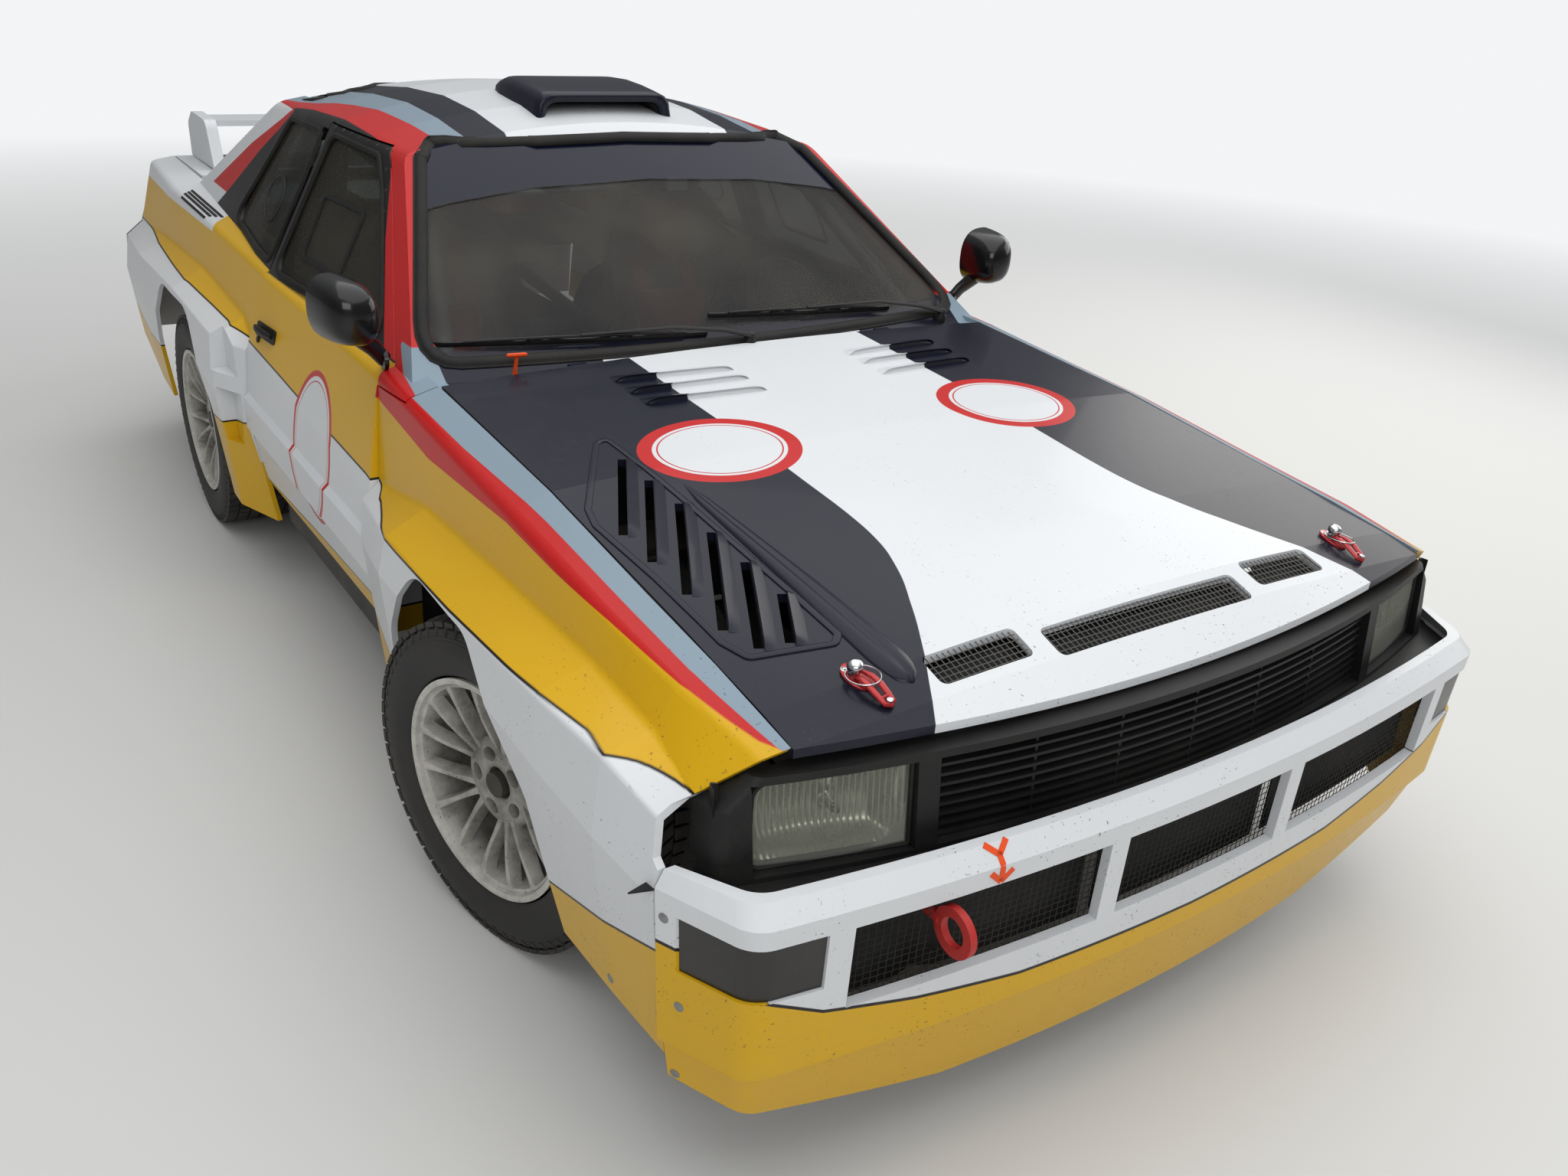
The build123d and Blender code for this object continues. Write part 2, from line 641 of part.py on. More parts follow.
# Grille: slats that follow the bow, on upright bars
slat_count = 9
slat_height = 5.0
slat_depth = 26.0
upright_spacing = 160.0
grille_high_z = lamp_high_z - 2
grille_low_z = lamp_low_z + 2
with BuildPart() as uprights:
    loft([bowed_band(grille_low_z, -12, slat_depth - 8, grille_half - seat_gap),
          bowed_band(grille_high_z, -12, slat_depth - 8, grille_half - seat_gap)], ruled=True)
    with GridLocations(1, upright_spacing, 1, 7):
        Box(6000, 5, 4000, mode=Mode.INTERSECT)
with BuildPart() as grille:
    slat_pitch = (grille_high_z - grille_low_z - slat_height) / (slat_count - 1)
    for i in range(slat_count):
        z = grille_low_z + i * slat_pitch
        extrude(bowed_band(z, -8, slat_depth, grille_half - seat_gap), amount=slat_height)
    add(uprights.part)
save(grille, "grille")

# Headlamps: a lens and bowl as one block in each pocket of the surround
lamp_clear = 1.0
with BuildPart() as lamp_layer:
    loft([bowed_band(lamp_low_z + lamp_clear, -4, 46, 792), bowed_band(lamp_high_z - lamp_clear, -4, 46, 792)], ruled=True)
with BuildPart() as headlamps:
    add(lamp_layer.part)
    with Locations((nose_x - 100, lamp_inner_y + lamp_clear, 640), (nose_x - 100, -lamp_outer_y + lamp_clear, 640)):
        Box(400, lamp_outer_y - lamp_inner_y - 2 * lamp_clear, 400,
            align=(Align.CENTER, Align.MIN, Align.CENTER), mode=Mode.INTERSECT)
save(headlamps, "headlamps")

# Front bumper: white bar above, air dam below, openings between posts.
# z, side y, corner x, corner y, centre x
bumper_levels = (
    (592, 862, nose_x - 28, 800, nose_x + 40),
    (566, 876, nose_x - 4, 812, nose_x + 62),
    (300, 868, nose_x - 16, 806, nose_x + 56),
)
dam_levels = (
    (297, 858, nose_x - 24, 800, nose_x + 46),
    (120, 836, nose_x - 70, 768, nose_x + 4),
)
bumper_wall = 16.0
bumper_seam_x = fender_front_x + panel_gap
bumper_corner_radius = 56.0


# Openings of the bumper: middle y, width
opening_low_z = 392.0
opening_high_z = 534.0
bumper_openings = ((0, 380), (446, 440), (-446, 440))
corner_lamp_x = nose_x - 120
corner_lamp_y = 704.0
corner_lamp_low_z = 440.0
with BuildPart() as front_bumper:
    add(wrap_shell(bumper_levels, bumper_wall, bumper_seam_x, bumper_corner_radius))
    for middle_y, width in bumper_openings:
        with Locations((nose_x, middle_y, opening_low_z)):
            Box(200, width, opening_high_z - opening_low_z, align=(Align.CENTER, Align.CENTER, Align.MIN), mode=Mode.SUBTRACT)
    for side in (1, -1):
        with Locations((corner_lamp_x, side * corner_lamp_y, corner_lamp_low_z)):
            Box(300, 300, opening_high_z - corner_lamp_low_z,
                align=(Align.MIN, Align.MIN if side > 0 else Align.MAX, Align.MIN), mode=Mode.SUBTRACT)
save(front_bumper, "front_bumper")

with BuildPart() as air_dam:
    add(wrap_shell(dam_levels, bumper_wall, bumper_seam_x, bumper_corner_radius))
    dam_front = ((-900, 240), (-780, 196), (-440, 128), (440, 128), (780, 196), (900, 240), (900, 400), (-900, 400))
    extrude(front_profile(dam_front, nose_x - 200), amount=400, mode=Mode.INTERSECT)
save(air_dam, "air_dam")

# Corner lamps: the bumper's own corner form, a little inside it
with BuildPart() as bumper_lamps:
    add(wrap_shell([(z, side - 4, cx - 4, cy - 4, centre - 4) for z, side, cx, cy, centre in bumper_levels],
                   bumper_wall + 10, bumper_seam_x, bumper_corner_radius))
    with Locations((corner_lamp_x + lamp_clear, 0, corner_lamp_low_z + lamp_clear)):
        Box(300, 2000, opening_high_z - corner_lamp_low_z - 2 * lamp_clear,
            align=(Align.MIN, Align.CENTER, Align.MIN), mode=Mode.INTERSECT)
    with Locations((nose_x, 0, 480)):
        Box(600, 2 * (corner_lamp_y + lamp_clear), 600, mode=Mode.SUBTRACT)
save(bumper_lamps, "bumper_lamps")

# Mesh behind the bumper's openings and the hood's vents
mesh_wall = 3.0
tow_y = -509.0
tow_z = 480.0
with BuildPart() as bumper_mesh:
    add(wrap_shell([(z, side - 17, cx - 17, cy - 17, centre - 17) for z, side, cx, cy, centre in bumper_levels],
                   mesh_wall, bumper_seam_x, bumper_corner_radius - 17))
    with Locations((nose_x, 0, opening_low_z - 12)):
        Box(400, 2 * 684, opening_high_z - opening_low_z + 24,
            align=(Align.CENTER, Align.CENTER, Align.MIN), mode=Mode.INTERSECT)
    with Locations((nose_x, tow_y, tow_z)):
        Box(400, 30, 92, mode=Mode.SUBTRACT)
save(bumper_mesh, "bumper_mesh")

# Rear bumper and the tail
tail_x = quarter_rear_x - seat_gap
rear_bumper_x = -half_length
lid_low_z = 850.0
tail_lamp_z = 764.0
with BuildPart() as tail_panel:
    tail_half = ((690, lid_low_z - panel_gap), (690, 934), (724, 930), (790, 735), (845, 690), (858, 560))
    extrude(front_profile([*tail_half, *[(-y, z) for y, z in tail_half[::-1]]], tail_x), amount=-12)
    for side in (1, -1):
        with Locations((tail_x - 6, side * 560, tail_lamp_z)):
            Box(60, 380, 130, mode=Mode.SUBTRACT)
save(tail_panel, "tail_panel")
with BuildPart() as tail_lamps:
    with Locations((tail_x - 12, 560, tail_lamp_z), (tail_x - 12, -560, tail_lamp_z)):
        Box(24, 380 - 2 * seat_gap, 130 - 2 * seat_gap)
save(tail_lamps, "tail_lamps")
with BuildPart() as rear_bumper:
    for z in (360, 596):
        inset = 14 if z > 500 else 30
        with BuildSketch(Plane.XY.offset(z)) as plan:
            with BuildLine():
                Polyline((tail_x - 12 - seat_gap, -862 + inset), (tail_x - 12 - seat_gap, 862 - inset), (rear_bumper_x + 10, 820 - inset))
                ThreePointArc((rear_bumper_x + 10, 820 - inset), (rear_bumper_x, 0), (rear_bumper_x + 10, inset - 820))
                Line((rear_bumper_x + 10, inset - 820), (tail_x - 12 - seat_gap, inset - 862))
            make_face()
    loft(ruled=True)
save(rear_bumper, "rear_bumper")

# Boot lid and spoiler
lid_front_x = -1622.0
lid_rear_x = quarter_rear_x - 16
with BuildPart() as boot_lid:
    lid_side = ((lid_front_x, 930), (lid_front_x, 944), (lid_rear_x + 26, 950), (lid_rear_x, 940), (lid_rear_x, lid_low_z),
                (lid_rear_x + 11.5, lid_low_z), (lid_rear_x + 11.5, 936))
    extrude(side_profile(lid_side, boot_half), amount=2 * boot_half)
save(boot_lid, "boot_lid")
with BuildPart() as spoiler:
    plate_side = ((lid_rear_x + 356, 950), (lid_rear_x + 296, 1096), (lid_rear_x + 96, 1104), (lid_rear_x + 20, 1060), (lid_rear_x + 20, 952))
    extrude(side_profile(plate_side, 600, (4, 40, 40, 30, 4)), amount=36)
    mirror(about=Plane.XZ)
    wing_side = ((lid_rear_x + 266, 1074), (lid_rear_x + 266, 1092), (lid_rear_x + 46, 1086), (lid_rear_x + 26, 1074), (lid_rear_x + 46, 1066))
    extrude(side_profile(wing_side, 590), amount=2 * 590)
save(spoiler, "spoiler")

# Floor pan: floor, tunnel, sills, firewall, front rails, wheelhouses and boot floor as one welded piece
floor_z = 210.0
sheet = 8.0
firewall_x = 700.0
kick_x = -660.0
rail_y = 360.0
rail_z = 400.0
rail_height = 80.0
rail_width = 60.0
nose_member_x = nose_x - 185
tunnel_half = 120.0
tunnel_z = 330.0
rear_floor_z = 400.0
boot_wall_x = -1430.0
tower_radius = 74.0
tower_y = 550.0
tower_z = 720.0
sill_outer_y = 770.0
sill_top_z = door_bottom_z - 6
cover_width = 224.0
flap_bracket_x = 771.7
with BuildPart() as floor_pan:
    with Locations((firewall_x, 0, floor_z)):
        Box(firewall_x - kick_x, 1480, sheet, align=(Align.MAX, Align.CENTER, Align.MAX))
        Box(3000, 2 * (tunnel_half - sheet), 60, align=(Align.CENTER, Align.CENTER, Align.CENTER), mode=Mode.SUBTRACT)
    extrude(front_profile([(-tunnel_half, floor_z - sheet), (-tunnel_half, tunnel_z), (tunnel_half, tunnel_z),
                           (tunnel_half, floor_z - sheet), (tunnel_half - sheet, floor_z - sheet),
                           (tunnel_half - sheet, tunnel_z - sheet), (sheet - tunnel_half, tunnel_z - sheet),
                           (sheet - tunnel_half, floor_z - sheet)], kick_x), amount=firewall_x - kick_x)
    # The floor steps up ahead of the rear wheels and runs on between them to the tail
    with Locations((kick_x, 0, floor_z - sheet)):
        Box(sheet, 1480, rear_floor_z - floor_z + sheet, align=(Align.MIN, Align.CENTER, Align.MIN))
        Box(60, 2 * (tunnel_half - sheet), tunnel_z - floor_z, align=(Align.CENTER, Align.CENTER, Align.MIN), mode=Mode.SUBTRACT)
    with Locations((kick_x + sheet, 0, rear_floor_z)):
        Box(kick_x + sheet - boot_wall_x, 2 * rear_liner_inner_y, sheet, align=(Align.MAX, Align.CENTER, Align.MAX))
    with Locations((boot_wall_x, 0, rear_floor_z)):
        Box(boot_wall_x - tail_x - 14, 2 * 620, sheet, align=(Align.MAX, Align.CENTER, Align.MAX))
    # Sills under the doors
    for side in (1, -1):
        with Locations(((door_front_x + door_rear_x) / 2, side * (sill_outer_y - 40), (sill_bottom_z + sill_top_z) / 2)):
            Box(door_front_x - door_rear_x - 8, 80, sill_top_z - sill_bottom_z)
    # Firewall, with the tunnel open through it
    with Locations((firewall_x, 0, floor_z - sheet)):
        Box(sheet, 2 * 690, 858 - floor_z + sheet, align=(Align.MIN, Align.CENTER, Align.MIN))
        Box(60, 2 * (tunnel_half - sheet), tunnel_z - floor_z, align=(Align.CENTER, Align.CENTER, Align.MIN), mode=Mode.SUBTRACT)
    # Front rails, the cross member that carries the nose, and the brackets of the front mudflaps
    with Locations((nose_member_x, 0, 500)):
        Box(30, 2 * 560, 60, align=(Align.MAX, Align.CENTER, Align.CENTER))
    for side in (1, -1):
        with Locations((firewall_x, side * rail_y, rail_z)):
            Box(nose_member_x - firewall_x, rail_width, rail_height, align=(Align.MIN, Align.CENTER, Align.CENTER))
        with Locations((nose_member_x, side * rail_y, 450)):
            Box(30, rail_width, 80, align=(Align.MAX, Align.CENTER, Align.CENTER))
        with Locations((flap_bracket_x, side * 660, 400)):
            Box(flap_bracket_x - firewall_x, 40, 40, align=(Align.MAX, Align.CENTER, Align.CENTER))
    # Front wheelhouses: an inner wall, a round cover over the tyre, and the strut tower
    for side in (1, -1):
        with BuildSketch(Plane.XZ.offset(-side * liner_inner_y)) as cover_ring:
            with Locations((front_axle_x, tyre_radius)):
                Circle(liner_radius + 6)
                Circle(liner_radius, mode=Mode.SUBTRACT)
            with Locations((front_axle_x, 470)):
                Rectangle(900, 400, align=(Align.CENTER, Align.MIN), mode=Mode.INTERSECT)
        extrude(amount=-side * cover_width)
        with BuildSketch(Plane.XZ.offset(-side * (liner_inner_y - 5))) as inner_wall:
            with Locations((front_axle_x, tyre_radius)):
                Circle(liner_radius + 6)
            with Locations((front_axle_x, rail_z - rail_height / 2)):
                Rectangle(900, 500, align=(Align.CENTER, Align.MIN), mode=Mode.INTERSECT)
            with Locations((front_axle_x, tyre_radius)):
                Rectangle(240, 240, mode=Mode.SUBTRACT)
        extrude(amount=-side * 6)
        for x in (front_axle_x - 200, front_axle_x + 200):
            with Locations((x, side * (liner_inner_y - 38), rail_z)):
                Box(60, 90, 60)
        with Locations((front_axle_x, side * tower_y, tyre_radius + liner_radius - 4)):
            Cylinder(tower_radius, tower_z - tyre_radius - liner_radius + 4, align=(Align.CENTER, Align.CENTER, Align.MIN))
        with Locations((front_axle_x, side * tower_y, 600)):
            Cylinder(tower_radius - 14, 300, align=(Align.CENTER, Align.CENTER, Align.MIN), mode=Mode.SUBTRACT)
    # Rear wheelhouses
    for side in (1, -1):
        with BuildSketch(Plane.XZ.offset(-side * rear_liner_inner_y)) as rear_ring:
            with Locations((rear_axle_x, tyre_radius)):
                Circle(liner_radius + 6)
                Circle(liner_radius, mode=Mode.SUBTRACT)
            with Locations((rear_axle_x, rear_floor_z)):
                Rectangle(900, 400, align=(Align.CENTER, Align.MIN), mode=Mode.INTERSECT)
        extrude(amount=-side * cover_width)
        with BuildSketch(Plane.XZ.offset(-side * (rear_liner_inner_y - 5))) as rear_wall:
            with Locations((rear_axle_x, tyre_radius)):
                Circle(liner_radius + 6)
            with Locations((rear_axle_x, rear_floor_z - sheet)):
                Rectangle(900, 500, align=(Align.CENTER, Align.MIN), mode=Mode.INTERSECT)
        extrude(amount=-side * 6)
save(floor_pan, "floor_pan")

# Wheels: a tyre and a rim, drawn with the hub's axis along Y and the outer side at -Y
bead_radius = 214.0
tread_half = 104.0
spoke_count = 15
rim_half = 112.0
barrel_radius = 190.0
disc_face_y = -72.0
hub_radius = 74.0
hub_bore = 30.0
with BuildPart() as tyre_shape:
    with BuildSketch(Plane.YZ):
        with BuildLine():
            Polyline((-108, bead_radius), (-117, 262), (-112, 296), (-tread_half, tyre_radius), (tread_half, tyre_radius),
                     (112, 296), (117, 262), (108, bead_radius), close=True)
        make_face()
    revolve(axis=Axis.Y)
with BuildPart() as rim_shape:
    with BuildSketch(Plane.YZ):
        with BuildLine():
            Polyline((-rim_half, bead_radius - seat_gap), (rim_half, bead_radius - seat_gap), (rim_half, 198), (60, barrel_radius),
                     (-rim_half, barrel_radius + 8), close=True)
        make_face()
    revolve(axis=Axis.Y)
    with BuildSketch(Plane.XZ.offset(-disc_face_y - 34)):
        Circle(hub_radius)
        Circle(hub_bore, mode=Mode.SUBTRACT)
    extrude(amount=34)
    with BuildSketch(Plane.XZ.offset(-disc_face_y - 30)):
        with PolarLocations(0, spoke_count):
            with Locations((hub_radius + 58, 0)):
                Trapezoid(30, 130, 86, rotation=-90)
    extrude(amount=26)


def wheel_place(piece, x, y, steer):
    # A wheel of the right side stands as it is drawn, and one of the left side is turned about
    turned = piece if y < 0 else piece.rotate(Axis.Z, 180)
    placed = turned.moved(Location((x, y, tyre_radius)))
    if steer:
        pivot = kingpin_half if y > 0 else -kingpin_half
        placed = placed.rotate(Axis((x, pivot, 0), (0, 0, 1)), steer)
    return placed


wheel_rows = (
    ("front_left", front_axle_x, track_front / 2, rest_steer),
    ("front_right", front_axle_x, -track_front / 2, rest_steer),
    ("rear_left", rear_axle_x, track_rear / 2, 0),
    ("rear_right", rear_axle_x, -track_rear / 2, 0),
)
for corner, x, y, steer in wheel_rows:
    with BuildPart() as tyre:
        add(wheel_place(tyre_shape.part, x, y, steer))
    save(tyre, "tyre_" + corner)
    with BuildPart() as rim:
        add(wheel_place(rim_shape.part, x, y, steer))
    save(rim, "rim_" + corner)

# Knuckles: the hub carrier with its spindle, the brake caliper, the ball joints and the steering arm
ball_low_z = 190.0
ball_high_z = 430.0
hub_inner = 44.0
hub_outer = 33.0
spindle_radius = 24.0
spindle_end = 82.0
with BuildPart() as knuckle_shape:
    with BuildSketch(Plane.XZ.offset(-hub_inner)):
        Circle(52)
    extrude(amount=hub_inner + hub_outer)
    with BuildSketch(Plane.XZ.offset(0)):
        Circle(spindle_radius)
    extrude(amount=spindle_end)
    with Locations((0, 43, (ball_low_z + ball_high_z) / 2 - tyre_radius)):
        Box(40, 26, ball_high_z - ball_low_z)
    with Locations((-70, 43, -40)):
        Box(140, 22, 24)
    with Locations((118, 10, 0)):
        Box(56, 70, 110)
    with Locations((70, 20, 0)):
        Box(80, 20, 60)
for corner, x, y, steer in wheel_rows[:2]:
    with BuildPart() as knuckle:
        add(wheel_place(knuckle_shape.part, x, y, steer))
    save(knuckle, "knuckle_" + corner[6:])


def tube(start, end, radius):
    # A round bar from one point to another
    with BuildPart() as bar:
        with BuildSketch(Plane(origin=start, z_dir=Vector(*end) - Vector(*start))):
            Circle(radius)
        extrude(amount=(Vector(*end) - Vector(*start)).length)
    return bar.part


# Front suspension: subframe, lower arms, struts under the towers with a brace between them, steering rack
subframe_z = 236.0
subframe_height = 36.0
arm_radius = 13.0
arm_end_y = 684.0
strut_radius = 26.0
spring_radius = 46.0
post_low_z = subframe_z + subframe_height / 2 - 4
rail_low_z = rail_z - rail_height / 2
rack_x = front_axle_x - 145
rack_radius = 20.0
rack_z = rail_z + rail_height / 2 + seat_gap + rack_radius
with BuildPart() as front_suspension:
    with Locations((front_axle_x, 0, subframe_z)):
        Box(300, 2 * 380, subframe_height)
    for side in (1, -1):
        for x in (front_axle_x - 120, front_axle_x + 120):
            add(tube((x, side * 340, subframe_z), (front_axle_x, side * 650, ball_low_z + 16), arm_radius))
            with Locations((x, side * rail_y, post_low_z)):
                Box(50, 40, rail_low_z - seat_gap - post_low_z, align=(Align.CENTER, Align.CENTER, Align.MIN))
        add(tube((front_axle_x, side * 636, ball_low_z + 16), (front_axle_x, side * arm_end_y, ball_low_z + 16), 16))
        add(tube((front_axle_x, side * tower_y, 406), (front_axle_x, side * tower_y, tower_z + 6), strut_radius))
        add(tube((front_axle_x, side * tower_y, 470), (front_axle_x, side * tower_y, 690), spring_radius))
        add(tube((front_axle_x, side * tower_y, 420), (front_axle_x, side * arm_end_y, 420), 14))
        with Locations((rack_x, side * rail_y, rail_z + rail_height / 2 + seat_gap)):
            Box(40, 40, rack_radius, align=(Align.CENTER, Align.CENTER, Align.MIN))
    with Locations((front_axle_x, 0, tower_z)):
        Box(120, 2 * (tower_y + tower_radius), 12, align=(Align.CENTER, Align.CENTER, Align.MIN))
    add(tube((rack_x, -rail_y - 20, rack_z), (rack_x, rail_y + 20, rack_z), rack_radius))
save(front_suspension, "front_suspension")

# Rear suspension: subframe, lower arms, struts and the hub carriers with their spindles
rear_strut_y = 585.0
rear_spring_radius = 36.0
rear_strut_top_z = tyre_radius + liner_radius - 1.3
rear_half = track_rear / 2
with BuildPart() as rear_suspension:
    with Locations((rear_axle_x, 0, subframe_z)):
        Box(260, 2 * 370, subframe_height)
    for side in (1, -1):
        for x in (rear_axle_x - 100, rear_axle_x + 100):
            add(tube((x, side * 340, subframe_z), (rear_axle_x, side * 668, ball_low_z + 30), arm_radius))
            with Locations((x, side * 340, post_low_z)):
                Box(44, 40, rear_floor_z - sheet - seat_gap - post_low_z, align=(Align.CENTER, Align.CENTER, Align.MIN))
        add(tube((rear_axle_x, side * 648, tyre_radius), (rear_axle_x, side * (rear_half + hub_outer), tyre_radius), 52))
        add(tube((rear_axle_x, side * 660, tyre_radius), (rear_axle_x, side * (rear_half + spindle_end), tyre_radius), spindle_radius))
        with Locations((rear_axle_x, side * 668, 300)):
            Box(44, 40, 210)
        add(tube((rear_axle_x, side * rear_strut_y, 350), (rear_axle_x, side * rear_strut_y, rear_strut_top_z), 22))
        add(tube((rear_axle_x, side * rear_strut_y, 440), (rear_axle_x, side * rear_strut_y, 650), rear_spring_radius))
        add(tube((rear_axle_x, side * rear_strut_y, 374), (rear_axle_x, side * 664, 374), 14))
save(rear_suspension, "rear_suspension")

# Driveline: gearbox, propeller shaft, rear differential and the four half shafts
subframe_top_z = subframe_z + subframe_height / 2 + seat_gap
engine_rear_x = front_axle_x + 20
gearbox_length = 430.0
half_shaft_radius = 15.0
with BuildPart() as driveline:
    with Locations((engine_rear_x - seat_gap, 0, subframe_top_z)):
        Box(gearbox_length, 190, 120, align=(Align.MAX, Align.CENTER, Align.MIN))
    add(tube((engine_rear_x - gearbox_length + 15, 0, 290), (rear_axle_x + 110, 0, 290), 28))
    with Locations((rear_axle_x, 0, subframe_top_z)):
        Box(240, 150, 110, align=(Align.CENTER, Align.CENTER, Align.MIN))
    for side in (1, -1):
        add(tube((rear_axle_x, side * 60, tyre_radius), (rear_axle_x, side * 646, tyre_radius), half_shaft_radius))
        add(tube((front_axle_x, side * 60, tyre_radius), (front_axle_x, side * arm_end_y, tyre_radius), half_shaft_radius))
save(driveline, "driveline")

# Engine, one plain block ahead of the front axle, on mounts between the rails
engine_half = 150.0
with BuildPart() as engine_block:
    engine_side = ((engine_rear_x, 300), (engine_rear_x + 45, 290), (engine_rear_x + 465, 290), (engine_rear_x + 515, 330),
                   (engine_rear_x + 515, 640), (engine_rear_x + 465, 690), (engine_rear_x + 55, 700), (engine_rear_x, 650))
    extrude(side_profile(engine_side, -engine_half), amount=-2 * engine_half)
    with Locations((engine_rear_x + 275, 0, rail_z)):
        Box(60, 2 * (rail_y - rail_width / 2 - seat_gap), 40)
save(engine_block, "engine_block")

# Radiator behind the grille
with BuildPart() as radiator:
    with Locations((nose_member_x + seat_gap, 0, 520)):
        Box(24, 620, 300, align=(Align.MIN, Align.CENTER, Align.CENTER))
save(radiator, "radiator")

# Exhaust under the floor, out at the rear on the right
exhaust_z = 160.0
exhaust_radius = 32.0
exhaust_path = ((900, -200, exhaust_z), (-700, -200, exhaust_z), (-1250, -380, exhaust_z + 8), (14 - half_length, -470, 300))
with BuildPart() as exhaust:
    for start, end in zip(exhaust_path, exhaust_path[1:]):
        add(tube(start, end, exhaust_radius))
    for bend in exhaust_path[1:-1]:
        with Locations(bend):
            Sphere(exhaust_radius)
    with Locations((-300, -200, exhaust_z)):
        Box(420, 150, 66)
    for x in (600, -300):
        with Locations((x, -200, exhaust_z)):
            Box(30, 30, floor_z - sheet - seat_gap - exhaust_z, align=(Align.CENTER, Align.CENTER, Align.MIN))
save(exhaust, "exhaust")

# Inside: dashboard with the steering column, bucket seats and roll cage
driver_y = 350.0
dash_half = 598.0
column_start = Vector(320, driver_y, 760)
column_end = Vector(185, driver_y, 798.6)
column_way = (column_end - column_start).normalized()
with BuildPart() as dashboard:
    extrude(side_profile([(firewall_x - seat_gap, 700), (firewall_x - seat_gap, 850), (560, 858), (340, 850), (290, 800),
                          (300, 690), (420, 660)], -dash_half), amount=-2 * dash_half)
    add(tube(column_start, column_end, 22))
save(dashboard, "dashboard")
seat_half = 225.0
with BuildPart() as seats:
    for side in (1, -1):
        extrude(side_profile([(-60, 224), (200, 260), (230, 400), (200, 420), (-80, 360), (-190, 380), (-420, 1060), (-480, 1060),
                              (-330, 520), (-230, 240)], side * driver_y - seat_half), amount=-2 * seat_half)
        with Locations((-20, side * driver_y, floor_z + seat_gap)):
            Box(160, 2 * seat_half - 80, 26, align=(Align.CENTER, Align.CENTER, Align.MIN))
save(seats, "seats")
cage_radius = 20.0
cage_foot_z = floor_z + seat_gap
hoop_x = -520.0
cage_path = ((520, 640, cage_foot_z + 4), (500, 632, 840), (25, 500, 1196), (hoop_x, 516, 1210), (hoop_x, 650, cage_foot_z + 4))
with BuildPart() as roll_cage:
    for side in (1, -1):
        path = [(x, side * y, z) for x, y, z in cage_path]
        for start, end in zip(path, path[1:]):
            add(tube(start, end, cage_radius))
        for knot in path[1:-1]:
            with Locations(knot):
                Sphere(cage_radius)
        add(tube((hoop_x, side * 516, 1210), (-1290, side * 470, rear_floor_z + 10), cage_radius))
        add(tube((512, side * 637, 470), (hoop_x, side * 606, 560), cage_radius - 2))
        for x, y, z in ((520, 640, cage_foot_z), (hoop_x, 650, cage_foot_z), (-1290, 470, rear_floor_z + seat_gap)):
            with Locations((x, side * y, z)):
                Box(90, 70, 8, align=(Align.CENTER, Align.CENTER, Align.MIN))
    for x, y, z in ((25, 500, 1196), (hoop_x, 516, 1210), (hoop_x, 590, 660)):
        add(tube((x, -y, z), (x, y, z), cage_radius))
    add(tube((hoop_x, -516, 1210), (hoop_x, 640, 290), cage_radius - 2))
    with Locations((hoop_x - 60, 0, 0)):
        Box(3000, 3000, 2 * cage_foot_z, mode=Mode.SUBTRACT)
    with Locations((-1290, 0, 0)):
        Box(400, 3000, 2 * (rear_floor_z + seat_gap), mode=Mode.SUBTRACT)
save(roll_cage, "roll_cage")

# Steering wheel, square to its column and a clear gap before its end
steering_radius = 175.0
steering_clear = 5.0
boss_half = 12.0
steering_centre = column_end + column_way * (steering_clear + boss_half)
with BuildPart() as steering_wheel:
    with Locations(Plane(origin=steering_centre, x_dir=(0, 1, 0), z_dir=column_way)):
        Torus(steering_radius, 14)
        Cylinder(36, 2 * boss_half)
        Box(2 * steering_radius, 34, 6)
        Box(34, steering_radius, 6, align=(Align.CENTER, Align.MAX, Align.CENTER))
save(steering_wheel, "steering_wheel")

# Door mirrors, each on a foot that widens into its housing: x, y, z, width, height
mirror_back_x = 478.0
mirror_rows = (
    (mirror_back_x, 858, 1010, 152, 128),
    (mirror_back_x + 40, 857, 1008, 148, 122),
    (mirror_back_x + 70, 852, 1003, 126, 98),
    (mirror_back_x + 90, 846, 997, 84, 58),
)
mirror_foot = Vector(466, 752, 900)
mirror_head = Vector(520, 838, 1000)
with BuildPart() as mirror_left:
    for x, y, z, width, height in mirror_rows:
        with BuildSketch(Plane.YZ.offset(x)):
            with Locations((y, z)):
                RectangleRounded(width, height, 0.42 * height)
    loft(ruled=True)
    with Locations(Plane(origin=mirror_foot, z_dir=mirror_head - mirror_foot)):
        Cone(15, 38, (mirror_head - mirror_foot).length, align=(Align.CENTER, Align.CENTER, Align.MIN))
    add(door_left.part, mode=Mode.SUBTRACT)
save(mirror_left, "mirror_left")
with BuildPart() as mirror_right:
    mirror(mirror_left.part, about=Plane.XZ)
save(mirror_right, "mirror_right")

# Roof scoop with a mouth to the front
scoop_half = 190.0
scoop_front_x = -36.0
with BuildPart() as roof_scoop:
    extrude(side_profile([(scoop_front_x, 1270), (scoop_front_x, 1350), (-290, 1376), (-346, 1350), (-346, 1270)], -scoop_half, 3),
            amount=-2 * scoop_half)
    add(cabin_form(-seat_gap), mode=Mode.SUBTRACT)
    with Locations((scoop_front_x, 0, 1336)):
        Box(120, 2 * (scoop_half - 12), 22, mode=Mode.SUBTRACT)
save(roof_scoop, "roof_scoop")

# Mudflaps behind the wheels
flap = 5.0
with BuildPart() as mudflaps:
    for side in (1, -1):
        for x in (flap_bracket_x + seat_gap, boot_wall_x + seat_gap):
            with Locations((x, side * 721, 430)):
                Box(flap, 240, 290, align=(Align.MIN, Align.CENTER, Align.MAX))
save(mudflaps, "mudflaps")

